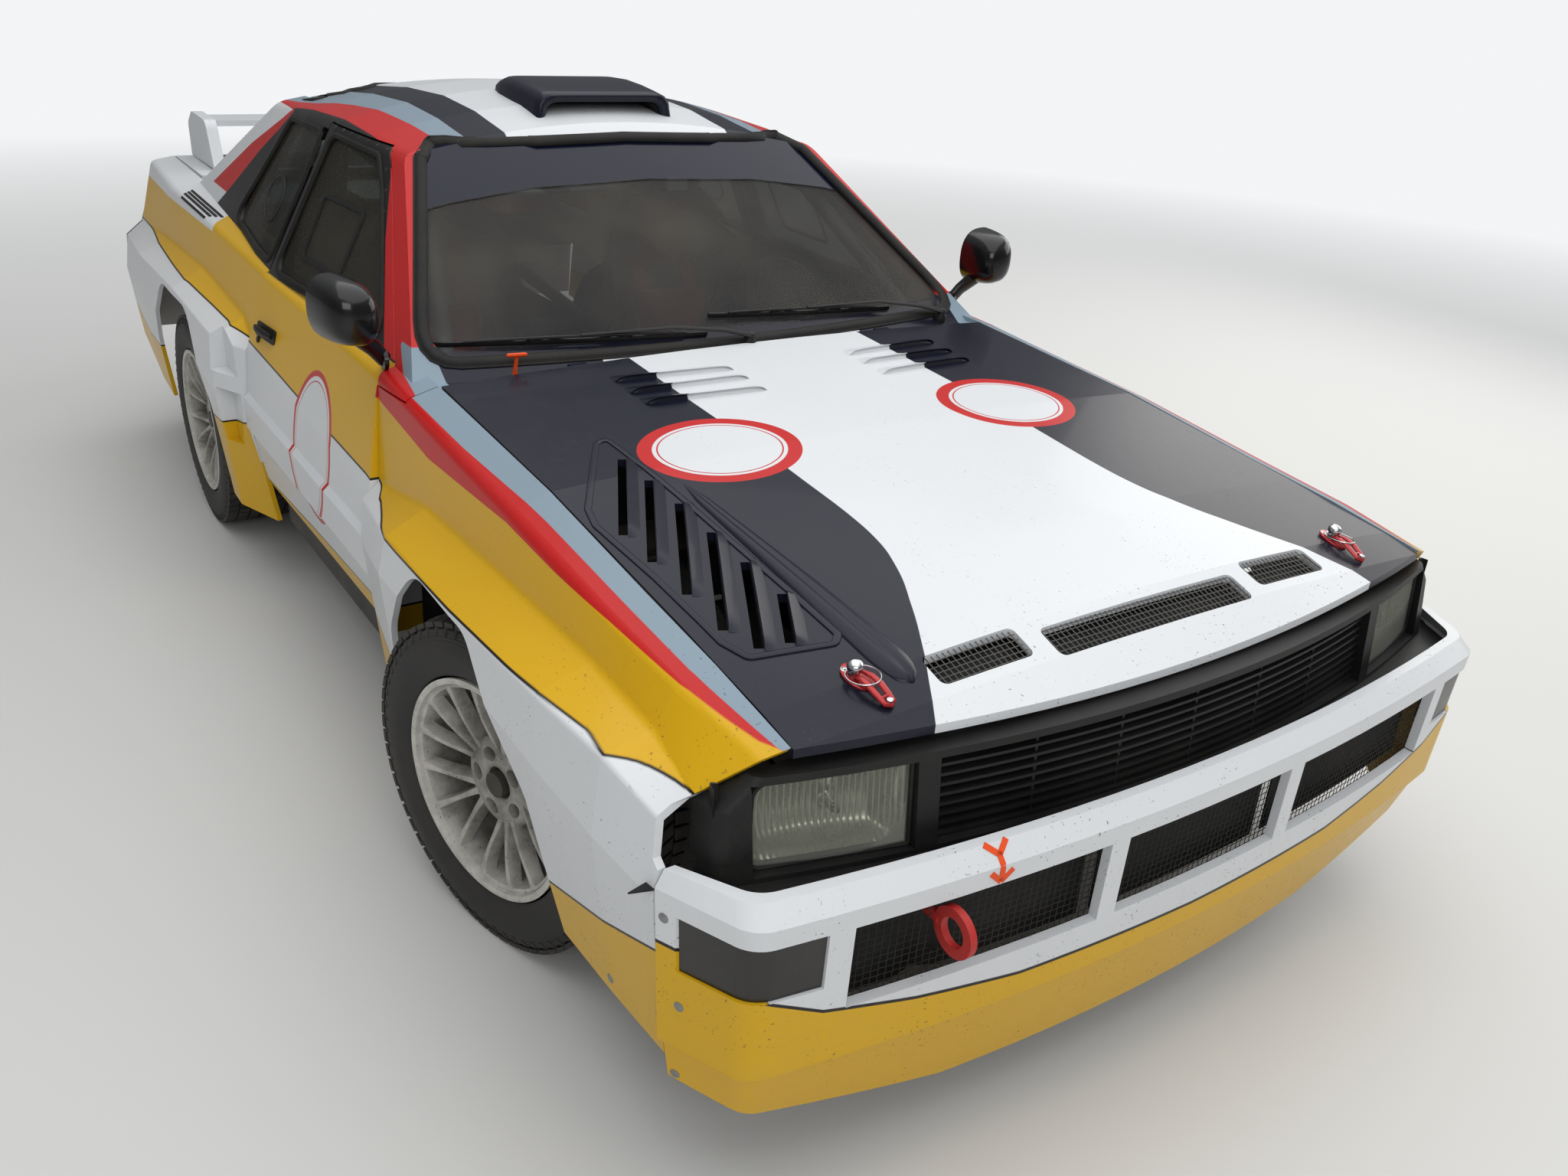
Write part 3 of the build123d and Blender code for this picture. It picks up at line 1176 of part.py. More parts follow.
# Tow eye through the right opening of the bumper
tow_ring_radius = 31.0
tow_bar_radius = 8.0
tow_ring_depth = 12.0
tow_ring_x = half_length - tow_ring_radius - tow_bar_radius
with BuildPart() as tow_eye:
    add(tube((nose_member_x + seat_gap, tow_y, tow_z), (tow_ring_x - tow_ring_radius, tow_y, tow_z), 9))
    with BuildSketch(Plane.XZ.offset(-tow_y - tow_ring_depth / 2)):
        with Locations((tow_ring_x, tow_z)):
            Circle(tow_ring_radius + tow_bar_radius)
    extrude(amount=tow_ring_depth)
    with BuildSketch(Plane.XZ.offset(-tow_y - tow_ring_depth)):
        with Locations((tow_ring_x, tow_z)):
            Circle(tow_ring_radius - tow_bar_radius)
    extrude(amount=2 * tow_ring_depth, mode=Mode.SUBTRACT)
save(tow_eye, "tow_eye")
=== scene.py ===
import math

import bmesh
import bpy
from mathutils import Matrix, Vector
from mathutils.bvhtree import BVHTree


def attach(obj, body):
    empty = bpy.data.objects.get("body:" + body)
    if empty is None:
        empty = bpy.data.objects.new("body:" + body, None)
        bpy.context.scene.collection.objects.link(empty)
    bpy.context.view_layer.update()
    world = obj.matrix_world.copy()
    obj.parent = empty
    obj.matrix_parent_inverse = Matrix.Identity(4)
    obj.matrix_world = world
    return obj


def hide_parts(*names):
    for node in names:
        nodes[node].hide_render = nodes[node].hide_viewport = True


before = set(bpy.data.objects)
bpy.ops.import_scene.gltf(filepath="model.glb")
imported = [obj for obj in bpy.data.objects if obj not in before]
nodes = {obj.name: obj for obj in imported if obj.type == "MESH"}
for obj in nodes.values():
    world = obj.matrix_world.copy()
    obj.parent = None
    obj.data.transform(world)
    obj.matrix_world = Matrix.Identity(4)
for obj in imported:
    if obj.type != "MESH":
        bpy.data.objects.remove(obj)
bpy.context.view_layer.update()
carSides = ((-1, "right"), (1, "left"))


class Wire:
    # one output socket of a node tree, used like a number or a colour
    def __init__(self, tree, socket):
        self.tree, self.socket = tree, socket

    def make(self, kind, settings=None, inputs=None, out=0):
        node = self.tree.nodes.new(kind)
        for name, value in (settings or {}).items():
            if name == "curve":
                places, handle = value
                points = node.mapping.curves[0].points
                while len(points) < len(places):
                    points.new(0.5, 0.5)
                for point, place in zip(points, places):
                    point.location, point.handle_type = place, handle
                node.mapping.update()
            else:
                setattr(node, name, value)
        for key, value in (inputs or {}).items():
            if isinstance(value, Wire):
                self.tree.links.new(value.socket, node.inputs[key])
            else:
                node.inputs[key].default_value = value
        return Wire(self.tree, node.outputs[out])

    def sum(self, operation, a, b=0.0, c=0.0):
        return self.make("ShaderNodeMath", {"operation": operation}, {0: a, 1: b, 2: c})

    def __add__(self, other):
        return self.sum("ADD", self, other)

    def __sub__(self, other):
        return self.sum("SUBTRACT", self, other)

    def __rsub__(self, other):
        return self.sum("SUBTRACT", other, self)

    def __mul__(self, other):
        return self.sum("MULTIPLY", self, other)

    def __truediv__(self, other):
        return self.sum("DIVIDE", self, other)

    def __abs__(self):
        return self.sum("ABSOLUTE", self)

    __radd__, __rmul__ = __add__, __mul__

    def power(self, other):
        return self.sum("POWER", self, other)

    def least(self, other):
        return self.sum("MINIMUM", self, other)

    def most(self, other):
        return self.sum("MAXIMUM", self, other)

    def root(self):
        return self.sum("SQRT", self)

    def sine(self):
        return self.sum("SINE", self)

    def above(self, edge, soft=0.0006):
        # 0 below the edge and 1 above it, with a short blend
        return self.make("ShaderNodeMapRange", {}, {0: self - edge, 1: -soft, 2: soft})

    def near(self, middle, reach, soft=0.0006):
        return 1 - abs(self - middle).above(reach, soft)

    def table(self, points, handle="VECTOR"):
        # straight runs through (place, value) pairs, or a smooth line with the handle AUTO
        low, high = points[0][0], points[-1][0]
        floor = min(value for _, value in points)
        span = max(max(value for _, value in points) - floor, 1e-6)
        place = self.make("ShaderNodeMapRange", {}, {0: self, 1: low, 2: high})
        curve = [((at - low) / (high - low), (value - floor) / span) for at, value in points]
        return self.make("ShaderNodeFloatCurve", {"curve": (curve, handle)}, {1: place}) * span + floor

    def mix(self, first, second):
        # this value blends two colours
        first, second = ((*c, 1) if isinstance(c, tuple) else c for c in (first, second))
        return self.make("ShaderNodeMix", {"data_type": "RGBA"}, {0: self, 6: first, 7: second}, 2)


def srgb(red, green, blue):
    # a screen colour from 0 to 255 as the linear colour that nodes use
    return tuple(((v / 255 + 0.055) / 1.055) ** 2.4 if v > 10 else v / 3294.6 for v in (red, green, blue))


colours = {
    "yellow": srgb(220, 172, 16),
    "white": srgb(222, 225, 228),
    "red": srgb(198, 28, 28),
    "grey": srgb(138, 156, 170),
    "navy": srgb(14, 18, 36),
    "black": srgb(16, 16, 18),
    "primer": srgb(126, 128, 128),
    "dust": srgb(150, 143, 130),
}


def newMaterial(name):
    # a new material, its Principled node, and a wire with the place on the piece
    material = bpy.data.materials.new(name)
    material.use_nodes = True
    tree = material.node_tree
    shader = tree.nodes["Principled BSDF"]
    start = Wire(tree, tree.nodes.new("ShaderNodeTexCoord").outputs["Object"])
    return material, shader, start


def grain(place, scale, detail=2.0, rough=0.5):
    return place.make("ShaderNodeTexNoise", {}, {"Vector": place, "Scale": scale, "Detail": detail,
                                                 "Roughness": rough})


def axes(place):
    split = place.make("ShaderNodeSeparateXYZ", {}, {0: place})
    node = split.socket.node
    return [Wire(place.tree, node.outputs[i]) for i in range(3)]


def plug(shader, name, value):
    if isinstance(value, Wire):
        value.tree.links.new(value.socket, shader.inputs[name])
    elif isinstance(value, tuple):
        shader.inputs[name].default_value = (*value, 1)
    else:
        shader.inputs[name].default_value = value


def bump(place, height, distance, strength=1.0):
    return place.make("ShaderNodeBump", {}, {"Height": height, "Distance": distance, "Strength": strength})


def setMaterial(node, material):
    for slot in nodes[node].material_slots:
        slot.material = material


def newPiece(name, verts, faces, material, body, smooth=40, replaces=()):
    # a mesh piece that rides on a body
    mesh = bpy.data.meshes.new(name)
    mesh.from_pydata([tuple(v) for v in verts], [], faces)
    work = bmesh.new()
    work.from_mesh(mesh)
    bmesh.ops.remove_doubles(work, verts=work.verts, dist=1e-6)
    bmesh.ops.recalc_face_normals(work, faces=work.faces)
    work.to_mesh(mesh)
    work.free()
    piece = bpy.data.objects.new(name, mesh)
    bpy.context.collection.objects.link(piece)
    mesh.materials.append(material)
    for polygon in mesh.polygons:
        polygon.use_smooth = smooth > 0
    if smooth:
        mesh.set_sharp_from_angle(angle=math.radians(smooth))
    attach(piece, body)
    if replaces:
        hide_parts(*replaces)
    return piece


def addSubdivision(piece, levels):
    tool = piece.modifiers.new("smooth", "SUBSURF")
    tool.levels = tool.render_levels = levels


def turns(count):
    # evenly spaced angles round a circle
    return [2 * math.pi * k / count for k in range(count)]


def fractions(count):
    # evenly spaced numbers from 0 to 1
    return [k / count for k in range(count + 1)]


class Shape:
    # gathers many simple solids into one mesh
    def __init__(self):
        self.verts, self.faces = [], []

    def add(self, verts, faces):
        base = len(self.verts)
        self.verts += [Vector(v) for v in verts]
        self.faces += [tuple(base + i for i in face) for face in faces]

    def rings(self, rings, closed=False, caps=True):
        # skins a row of point rings, with the ends capped unless the row closes
        count, size = len(rings), len(rings[0])
        faces = []
        for i in range(count if closed else count - 1):
            for j in range(size):
                a, b = i * size, (i + 1) % count * size
                faces.append((a + j, a + (j + 1) % size, b + (j + 1) % size, b + j))
        if caps and not closed:
            faces += [tuple(range(size))[::-1], tuple(range((count - 1) * size, count * size))]
        self.add([p for ring in rings for p in ring], faces)

    def lathe(self, profile, steps, matrix=Matrix(), closedProfile=False):
        # turns (along, radius) pairs about the local Y axis
        rings = []
        for i in range(steps):
            angle = math.radians(360 * i / steps)
            rings.append([matrix @ Vector((r * math.cos(angle), y, r * math.sin(angle))) for y,
                          r in profile])
        size = len(profile)
        faces = []
        for i in range(steps):
            for j in range(size if closedProfile else size - 1):
                a, b = i * size, (i + 1) % steps * size
                faces.append((a + j, a + (j + 1) % size, b + (j + 1) % size, b + j))
        self.add([p for ring in rings for p in ring], faces)

    def tube(self, path, radius, sides=10, closed=False, flat=1.0, up=None):
        # a round or flattened tube along points; radius is a number or one for each point
        path = [Vector(p) for p in path]
        count = len(path)
        rings = []
        across = None
        for i, point in enumerate(path):
            before = path[i - 1] if i or closed else point
            after = path[(i + 1) % count] if i + 1 < count or closed else point
            along = (after - before).normalized()
            if up is not None:
                side = along.cross(Vector(up)).normalized()
            elif across is None:
                side = along.orthogonal().normalized()
            else:
                side = (across - along * across.dot(along)).normalized()
            across = side
            other = side.cross(along)
            r = radius[i] if isinstance(radius, (list, tuple)) else radius
            rings.append([
                point + side * r * math.cos(a) + other * r * flat * math.sin(a)
                for a in turns(sides)
            ])
        self.rings(rings, closed)

    def strip(self, path, normals, profile, closed=False):
        # sweeps a flat profile of (across, height) pairs along points with given normals
        path = [Vector(p) for p in path]
        count = len(path)
        rings = []
        for i, point in enumerate(path):
            before = path[i - 1] if i or closed else point
            after = path[(i + 1) % count] if i + 1 < count or closed else point
            along = (after - before).normalized()
            normal = Vector(normals[i]).normalized()
            side = along.cross(normal).normalized()
            rings.append([point + side * a + normal * h for a, h in profile])
        self.rings(rings, closed)

    def laid(self, row, profile, closed=False):
        # a strip along (point, normal) pairs
        self.strip([p for p, n in row], [n for p, n in row], profile, closed)

    def piece(self, name, material, body, slot, smooth=40, replaces=()):
        return newPiece(name, self.verts, self.faces, material, body, smooth, replaces)


trees = {}


def surface(names, origin, direction, reach=4.0):
    # where a ray first meets the named CAD nodes, with the normal turned towards its start
    best = None
    for name in names:
        if name not in trees:
            mesh = nodes[name].data
            trees[name] = BVHTree.FromPolygons([v.co for v in mesh.vertices],
                                               [p.vertices for p in mesh.polygons])
        hit = trees[name].ray_cast(Vector(origin), Vector(direction), reach)
        if hit[0] is not None and (best is None or hit[3] < best[2]):
            best = (hit[0], hit[1], hit[3])
    if best is None:
        return None, None
    normal = best[1] if best[1].dot(Vector(direction)) < 0 else -best[1]
    return best[0], normal


def fromTop(names, x, y):
    return surface(names, (x, y, 2), (0, 0, -1))


def fromFront(names, y, z):
    return surface(names, (3, y, z), (-1, 0, 0))


def fromSide(names, side, x, z):
    return surface(names, (x, side * 2, z), (0, -side, 0))


def met(row):
    # the rays of a row that met something
    return [hit for hit in row if hit[0] is not None]


def turned(place, normal):
    # a matrix that stands the local Y axis along a normal
    return Matrix.Translation(place) @ Vector((0, 1, 0)).rotation_difference(normal).to_matrix().to_4x4()


def flatPoints(pairs):
    return [Vector((a, b, 0)) for a, b in pairs]


def spread(points, gap, closed=False):
    # evenly filled points along straight runs
    out = []
    for a, b in zip(points, points[1:] + (points[:1] if closed else [])):
        a, b = Vector(a), Vector(b)
        steps = max(1, round((b - a).length / gap))
        out += [a.lerp(b, i / steps) for i in range(steps)]
    return out if closed else out + [Vector(points[-1])]


def rounded(points, radius, steps=5):
    # a closed outline in a plane with its corners rounded
    out = []
    for i, corner in enumerate(points):
        corner = Vector(corner)
        back = (Vector(points[i - 1]) - corner).normalized()
        ahead = (Vector(points[(i + 1) % len(points)]) - corner).normalized()
        half = back.angle(ahead) / 2
        reach = (radius[i] if isinstance(radius, list) else radius) / math.tan(half)
        a, b = corner + back * reach, corner + ahead * reach
        for k in range(steps + 1):
            t = k / steps
            out.append(a * (1 - t) ** 2 + corner * 2 * t * (1 - t) + b * t * t)
    return out


# paint and livery
paintLook = {"rough": 0.26, "coat": 0.08, "shine": 0.22, "peel": 0.00008, "dust": 0.05, "chips": 0.7}


def paint(name, pattern):
    # glossy car paint: a colour pattern with dust, fine scratches, stone chips and orange peel
    look = paintLook
    material, shader, place = newMaterial(name)
    x, y, z = axes(place)
    colour = pattern(x, y, z)
    dirt = grain(place, 3.2, 5.0, 0.62)
    fine = grain(place, 60, 3.0, 0.6)
    lowDown = 1 - z.above(0.45, 0.35)
    dust = (dirt.above(0.5, 0.22) * fine.above(0.42, 0.2) * look["dust"] * (0.45 + lowDown * 1.4)).least(0.6)
    colour = dust.mix(colour, colours["dust"])
    shade = grain(place, 1.4, 2.0)
    colour = (shade * 0.10).mix(colour, (0.02, 0.02, 0.02))
    chip = grain(place, 210, 1.0, 0.4).above(0.735 - lowDown * 0.03,
                                             0.006) * grain(place, 9, 2.0).above(0.52, 0.06)
    chip = chip * look["chips"] * x.above(1.2, 0.7)
    colour = chip.mix(colour, srgb(78, 62, 52))
    plug(shader, "Base Color", colour)
    plug(shader, "Roughness", (look["rough"] + dust * 0.7 + fine * 0.06 + chip * 0.4).least(0.9))
    plug(shader, "Coat Weight", look["coat"])
    plug(shader, "Coat Roughness", 0.05)
    plug(shader, "Specular IOR Level", look["shine"])
    peel = grain(place, 420, 1.0) + grain(place, 26, 1.0) * 2.0 - chip * 2.0
    plug(shader, "Normal", bump(place, peel, look["peel"], 0.6))
    return material


def blendAll(first, *layers):
    # later layers cover earlier ones
    colour = first
    for mask, over in layers:
        colour = mask.mix(colour, over)
    return colour


# heights of the side lines along x, and widths of the top lines, in metres
lines = {
    "pin": [(-2.04, .745), (-1.26, .744), (-1.011, .745), (-.753, .737), (-.589, .731), (-.466, .716),
            (-.129, .700),
            (.159, .685), (.50, .672), (.566, .664), (.599, .656), (.761, .655), (.861, .655), (1.15, .664),
            (1.393, .677),
            (1.493, .684), (1.636, .690), (1.736, .688), (1.835, .682), (1.893, .66)],
    "low": [(-2.04, .455), (-.70, .455), (-.552, .470), (-.445, .492), (-.44, .334), (-.331, .339),
            (.034, .362),
            (.465, .384), (.566, .39), (.80, .36), (1.439, .322), (1.702, .405), (1.9, .475)],
    "redLow": [(.48, .826), (.543, .819), (.784, .795), (1.147, .802), (1.333, .787), (1.507, .779),
               (1.718, .765), (1.796, .757),
               (1.855, .752), (1.9, .752)],
    "redTop": [(.48, .737), (.525, .741), (.632, .758), (.901, .755), (1.226, .741), (1.539, .737),
               (1.684, .735), (1.737, .731),
               (1.836, .721), (1.88, .716)],
    "hoodBand": [(.60, .300), (.97, .300), (1.285, .296), (1.45, .296), (1.523, .303), (1.601, .324),
                 (1.71, .374), (1.807, .428),
                 (1.876, .469), (1.949, .511)],
    "roofRed": [(-1.0, .53), (-.741, .514), (-.512, .480), (-.272, .465), (-.035, .455), (.1, .452)],
    "bumperLow": [(0, .337), (.366, .344), (.55, .368), (.70, .398), (.815, .456), (.858, .478)],
}


def lineWidth(z, width=.0024):
    # half the height of a painted line, less where the panel lies flatter
    split = z.make("ShaderNodeSeparateXYZ", {}, {0: z.make("ShaderNodeNewGeometry", out="True Normal")})
    up = Wire(z.tree, split.socket.node.outputs[2])
    return (1 - up * up).most(.02).root() * width


def facing(wire, axis):
    # how far the surface faces along an axis of the piece itself
    place = wire.tree.nodes.new("ShaderNodeTexCoord").outputs["Normal"]
    return axes(Wire(wire.tree, place))[axis]


def sidePattern(x, y, z):
    side = abs(y)
    pin = x.table(lines["pin"])
    low = x.table(lines["low"])
    colour = blendAll(colours["yellow"], (z.above(low), colours["white"]), (z.above(pin), colours["yellow"]))
    top = z.above(x.table(lines["redLow"])) * x.above(.478)
    colour = blendAll(colour, (top, colours["red"]), (top * (1 - side.above(x.table(lines["redTop"]))),
                                                      colours["grey"]))
    thin = lineWidth(z)
    stripe = z.near(pin, thin).most(z.near(low, thin) * (1 - x.near(-.442, .006)))
    return stripe.mix(colour, colours["black"])


def doorPattern(x, y, z):
    colour = sidePattern(x, y, z)
    frameEdge = z.table([(.885, .400), (.949, .317), (1.075, .158), (1.204, .028), (1.25, -.02)])
    colour = blendAll(colour, (z.above(.886, .001), colours["black"]), (z.above(.89) * x.above(frameEdge),
                                                                        colours["red"]))
    across = ((x - .13) / .145).power(2) + ((z - .606) / .178).power(2)
    disc = across.root()
    inside = ((x - .13) / .132).power(2) + ((z - .606) / .165).power(2)
    inner = inside.root()
    return blendAll(
        colour,
        (1 - disc.above(1.0, .004), colours["red"]),
        (1 - inner.above(1.0, .004), colours["white"]),
        (inner.near(.93, .008, .004), colours["red"]),
        (1 - (facing(x, 1) * y.sum("SIGN", y)).above(-.35, .05), colours["primer"]),
    )


def quarterPattern(x, y, z):
    side = abs(y)
    colour = sidePattern(x, y, z)
    shoulder = z.above(.886, .001) * (1 - side.above(.772)) * (1 - x.above(-1.055 + (side - .72) * 1.2))
    return shoulder.mix(colour, colours["white"])


def hoodPattern(x, y, z):
    side = abs(y)
    white = 1 - abs(y - .012).above(x.table(lines["hoodBand"], "AUTO"))
    colour = white.mix(colours["navy"], colours["white"])
    across = ((x - 1.128) / .134).power(2) + ((side - .352) / .158).power(2)
    disc = across.root()
    return blendAll(
        colour,
        (1 - disc.above(1.0, .004), colours["red"]),
        (1 - disc.above(.82, .004), colours["white"]),
        (disc.near(.76, .01, .004), colours["red"]),
        (1 - facing(x, 2).above(-.25, .05), colours["primer"]),
    )


def roofPattern(x, y, z):
    side = abs(y)
    return blendAll(
        colours["white"],
        (side.above(.300), colours["navy"]),
        (side.above(.394), colours["grey"]),
        (side.above(x.table(lines["roofRed"])), colours["red"]),
        (side.above(.553) * x.above(-.80), colours["black"]),
    )


def framePattern(x, y, z):
    # pillars are red; the panel in front of the screen is navy with white middle and grey ends
    side = abs(y)
    edge = x.table([(.44, .708), (.47, .718), (.522, .734), (.651, .752)])
    cowl = (1 - z.above(.928, .001)) * (1 - side.above(edge)) * x.above(.455)
    white = (1 - side.above(.338)) * x.above(.56)
    return blendAll(
        colours["red"],
        (cowl, colours["grey"]),
        (cowl * (1 - side.above(.672)), colours["navy"]),
        (cowl * white, colours["white"]),
        (z.above(1.236) * (1 - side.above(.505)), colours["black"]),
    )


def pillarPattern(x, y, z):
    rear = z.table([(.90, -1.50), (.964, -1.388), (1.112, -1.107), (1.235, -.811), (1.24, -.80)])
    front = z.table([(.90, -1.28), (.985, -1.155), (1.106, -.994), (1.220, -.804), (1.24, -.78)])
    return blendAll(
        colours["white"],
        (x.above(rear) * z.above(.962), colours["red"]),
        (x.above(front), colours["black"]),
    )


def tailPattern(x, y, z):
    side = abs(y)
    return blendAll(
        colours["white"],
        (side.above(.300), colours["navy"]),
        (side.above(.394), colours["grey"]),
        (side.above(.56), colours["white"]),
        (1 - facing(x, 2).above(-.25, .05), colours["primer"]),
    )


def bumperPattern(x, y, z):
    low = abs(y).table(lines["bumperLow"])
    colour = z.above(low).mix(colours["yellow"], colours["white"])
    return z.near(low, lineWidth(z, .003)).mix(colour, colours["black"])


livery = {
    "sidePaint": (sidePattern, ["front_fender_left", "front_fender_right"]),
    "doorPaint": (doorPattern, ["door_left", "door_right"]),
    "quarterPaint": (quarterPattern, ["rear_quarter_left", "rear_quarter_right"]),
    "hoodPaint": (hoodPattern, ["hood"]),
    "roofPaint": (roofPattern, ["roof"]),
    "framePaint": (framePattern, ["windscreen_frame"]),
    "pillarPaint": (pillarPattern, ["rear_pillar_left", "rear_pillar_right"]),
    "tailPaint": (tailPattern, ["boot_lid", "rear_deck"]),
    "bumperPaint": (bumperPattern, ["front_bumper"]),
    "whitePaint": (lambda x, y, z: colours["white"], ["spoiler", "rear_bumper"]),
    "damPaint": (lambda x, y, z: colours["yellow"], ["air_dam"]),
    "scoopPaint": (lambda x, y, z: colours["navy"], ["roof_scoop"]),
}
paints = {}
for name, (pattern, painted) in livery.items():
    paints[name] = paint(name, pattern)
    for node in painted:
        setMaterial(node, paints[name])
print("paint done")


# other finishes
def plain(name, colour, rough, metal=0.0, tint=0.12, scale=40, depth=0.0002, dust=0.25, coat=0.0):
    # a single finish with uneven colour, dust in patches and a fine grain
    material, shader, place = newMaterial(name)
    spots = grain(place, scale, 4.0, 0.6)
    patches = grain(place, 6, 4.0, 0.6).above(0.5, 0.2)
    base = (spots * tint * 2).mix(colour, tuple(v * 0.35 for v in colour))
    base = (patches * spots * dust).mix(base, colours["dust"])
    plug(shader, "Base Color", base)
    plug(shader, "Roughness", (rough + (spots - 0.5) * 0.2 + patches * dust * 0.4).least(1.0))
    plug(shader, "Metallic", metal)
    plug(shader, "Coat Weight", coat)
    plug(shader, "Specular IOR Level", 0.5 if metal else 0.3)
    plug(shader, "Normal", bump(place, spots + grain(place, scale * 6, 2.0) * 0.6, depth, 0.7))
    return material


finishes = {
    "blackPlastic": plain("blackPlastic", srgb(19, 19, 21), 0.48, scale=160, depth=0.00012, dust=0.07),
    "rubber": plain("rubber", srgb(16, 16, 17), 0.66, scale=90, depth=0.0002, dust=0.1),
    "darkSteel": plain("darkSteel", srgb(58, 55, 52), 0.55, 0.55, scale=30, depth=0.0004, dust=0.5),
    "castMetal": plain("castMetal", srgb(92, 92, 90), 0.6, 0.5, scale=120, depth=0.0006, dust=0.4),
    "wireBlack": plain("wireBlack", srgb(22, 22, 22), 0.55, 0.0, scale=200, dust=0.15),
    "alloy": plain("alloy", srgb(150, 152, 152), 0.4, 0.9, scale=80, dust=0.2),
    "chrome": plain("chrome", srgb(205, 206, 208), 0.16, 1.0, tint=0.04, dust=0.05),
    "floorPaint": plain("floorPaint", srgb(52, 53, 55), 0.6, scale=50, depth=0.0005, dust=0.5),
    "cagePaint": plain("cagePaint", srgb(96, 98, 98), 0.38, scale=60, depth=0.0001, dust=0.1, coat=0.2),
    "flapRubber": plain("flapRubber", srgb(30, 28, 27), 0.75, scale=40, depth=0.0005, dust=0.6),
    "towRed": plain("towRed", srgb(190, 34, 34), 0.42, scale=70, depth=0.0003, dust=0.25),
    "radiator": plain("radiator", srgb(84, 86, 88), 0.45, 0.8, scale=200, dust=0.4),
    "mirrorBlack": plain("mirrorBlack", srgb(11, 12, 15), 0.2, tint=0.05, depth=0.00004, dust=0.03,
                         coat=0.3),
    "orange": plain("orange", srgb(236, 82, 28), 0.5, tint=0.05, dust=0.08),
    "shiftRed": plain("shiftRed", srgb(176, 30, 34), 0.28, 0.35, tint=0.05, dust=0.1, coat=0.3),
}
nodeFinish = {
    "blackPlastic": ["front_panel", "grille", "dashboard", "tail_panel"],
    "wireBlack": ["hood_mesh", "bumper_mesh"],
    "darkSteel": ["driveline", "front_suspension", "rear_suspension", "exhaust", "knuckle_left",
                  "knuckle_right"],
    "castMetal": ["engine_block"],
    "floorPaint": ["floor_pan"],
    "cagePaint": ["roll_cage"],
    "flapRubber": ["mudflaps"],
    "towRed": ["tow_eye"],
    "radiator": ["radiator"],
    "rubber": ["steering_wheel", "mirror_left", "mirror_right", "seats"] + [f"tyre_{a}_{b}"
                                                                            for a in ("front", "rear") for b in ("left", "right")],
}
for name, dressed in nodeFinish.items():
    for node in dressed:
        setMaterial(node, finishes[name])


def glass(name, pattern=None, tint=(0.97, 0.985, 0.98), extra=0.01):
    # see-through glass: a clear part and a glossy part, with dust in patches and a cover where the pattern says, such
    # as a sun band or the painted light on a lamp lens
    material, shader, place = newMaterial(name)
    tree = place.tree
    x, y, z = axes(place)
    dirt = grain(place, 2.0, 3.0, 0.55).above(0.5, 0.3)
    cover, colour = pattern(x, y, z) if pattern else (dirt * 0.0, colours["black"])
    plug(shader, "Base Color", (dirt * (1 - cover) * 0.5).mix(colour, colours["dust"]))
    plug(shader, "Roughness", (0.04 + dirt * 0.08 + cover * 0.1).least(0.6))
    plug(shader, "Specular IOR Level", 0.25)
    gloss = place.make("ShaderNodeFresnel", {}, {"IOR": 1.5})
    amount = (gloss * .8 + extra + dirt * 0.02).most(cover).least(1.0)
    clear = place.make("ShaderNodeBsdfTransparent", {}, {0: (*tint, 1)})
    shown = Wire(tree, shader.outputs[0])
    mixed = place.make("ShaderNodeMixShader", {}, {0: amount, 1: clear, 2: shown})
    tree.links.new(mixed.socket, tree.nodes["Material Output"].inputs[0])
    return material


def screenPattern(x, y, z):
    # a dark sun band that dips in the middle, and a black printed edge
    band = z.above(abs(y).table([(0, 1.186), (.3, 1.176), (.5, 1.152), (.62, 1.130)]), .0015)
    edge = (1 - z.above(.925 - abs(y) * .012, .006)) * .9
    return band.most(edge), colours["navy"]


glasses = {
    "screenGlass": (glass("screenGlass", screenPattern), ["windscreen"]),
    "sideGlass": (glass("sideGlass", None, (0.88, 0.92, 0.91), 0.04), ["door_glass_left", "door_glass_right",
                                                                       "quarter_windows"]),
    "rearGlass": (glass("rearGlass", None, (0.80, 0.85, 0.84)), ["rear_window"]),
}
for material, dressed in glasses.values():
    for node in dressed:
        setMaterial(node, material)


def lens(name, colour, rough=0.12, ribs=0.0, depth=0.0006, coat=0.6):
    # a coloured lamp lens with moulded ribs
    material, shader, place = newMaterial(name)
    dirt = grain(place, 12, 5.0, 0.6).above(0.5, 0.25)
    plug(shader, "Base Color", (dirt * 0.06).mix(colour, colours["dust"]))
    plug(shader, "Roughness", rough + dirt * 0.25)
    plug(shader, "Coat Weight", coat)
    if ribs:
        wave = (axes(place)[1] * (2 * math.pi / ribs)).sine()
        plug(shader, "Normal", bump(place, wave, depth, 0.8))
    return material


setMaterial("bumper_lamps", lens("smokedLens", srgb(13, 12, 12), 0.16, coat=0.1))
setMaterial("tail_lamps", lens("tailLens", srgb(168, 16, 18), 0.12, 0.010))
setMaterial("headlamps", lens("lampGlass", srgb(170, 175, 175), 0.1, 0.009, 0.002))
for corner in ("front_left", "front_right", "rear_left", "rear_right"):
    setMaterial("rim_" + corner, finishes["alloy"])
print("finishes done")


# wheels and tyres
wheelLook = {
    "lipRadius": .2135, "lipHalf": .112, "barrel": .196, "hub": .088, "bore": .031, "spokes": 3, "groups": 5,
    "hubFace": -.074, "rimFace": -.101, "lugCircle": .058, "blocks": 62, "tread": .318,
}
steerAngle = math.radians(14.3)
wheelPlaces = {
    "front_right": ((1.16562, -.75667, .318), steerAngle),
    "front_left": ((1.14438, .75667, .318), steerAngle + math.pi),
    "rear_right": ((-1.049, -.750, .318), 0),
    "rear_left": ((-1.049, .750, .318), math.pi),
}


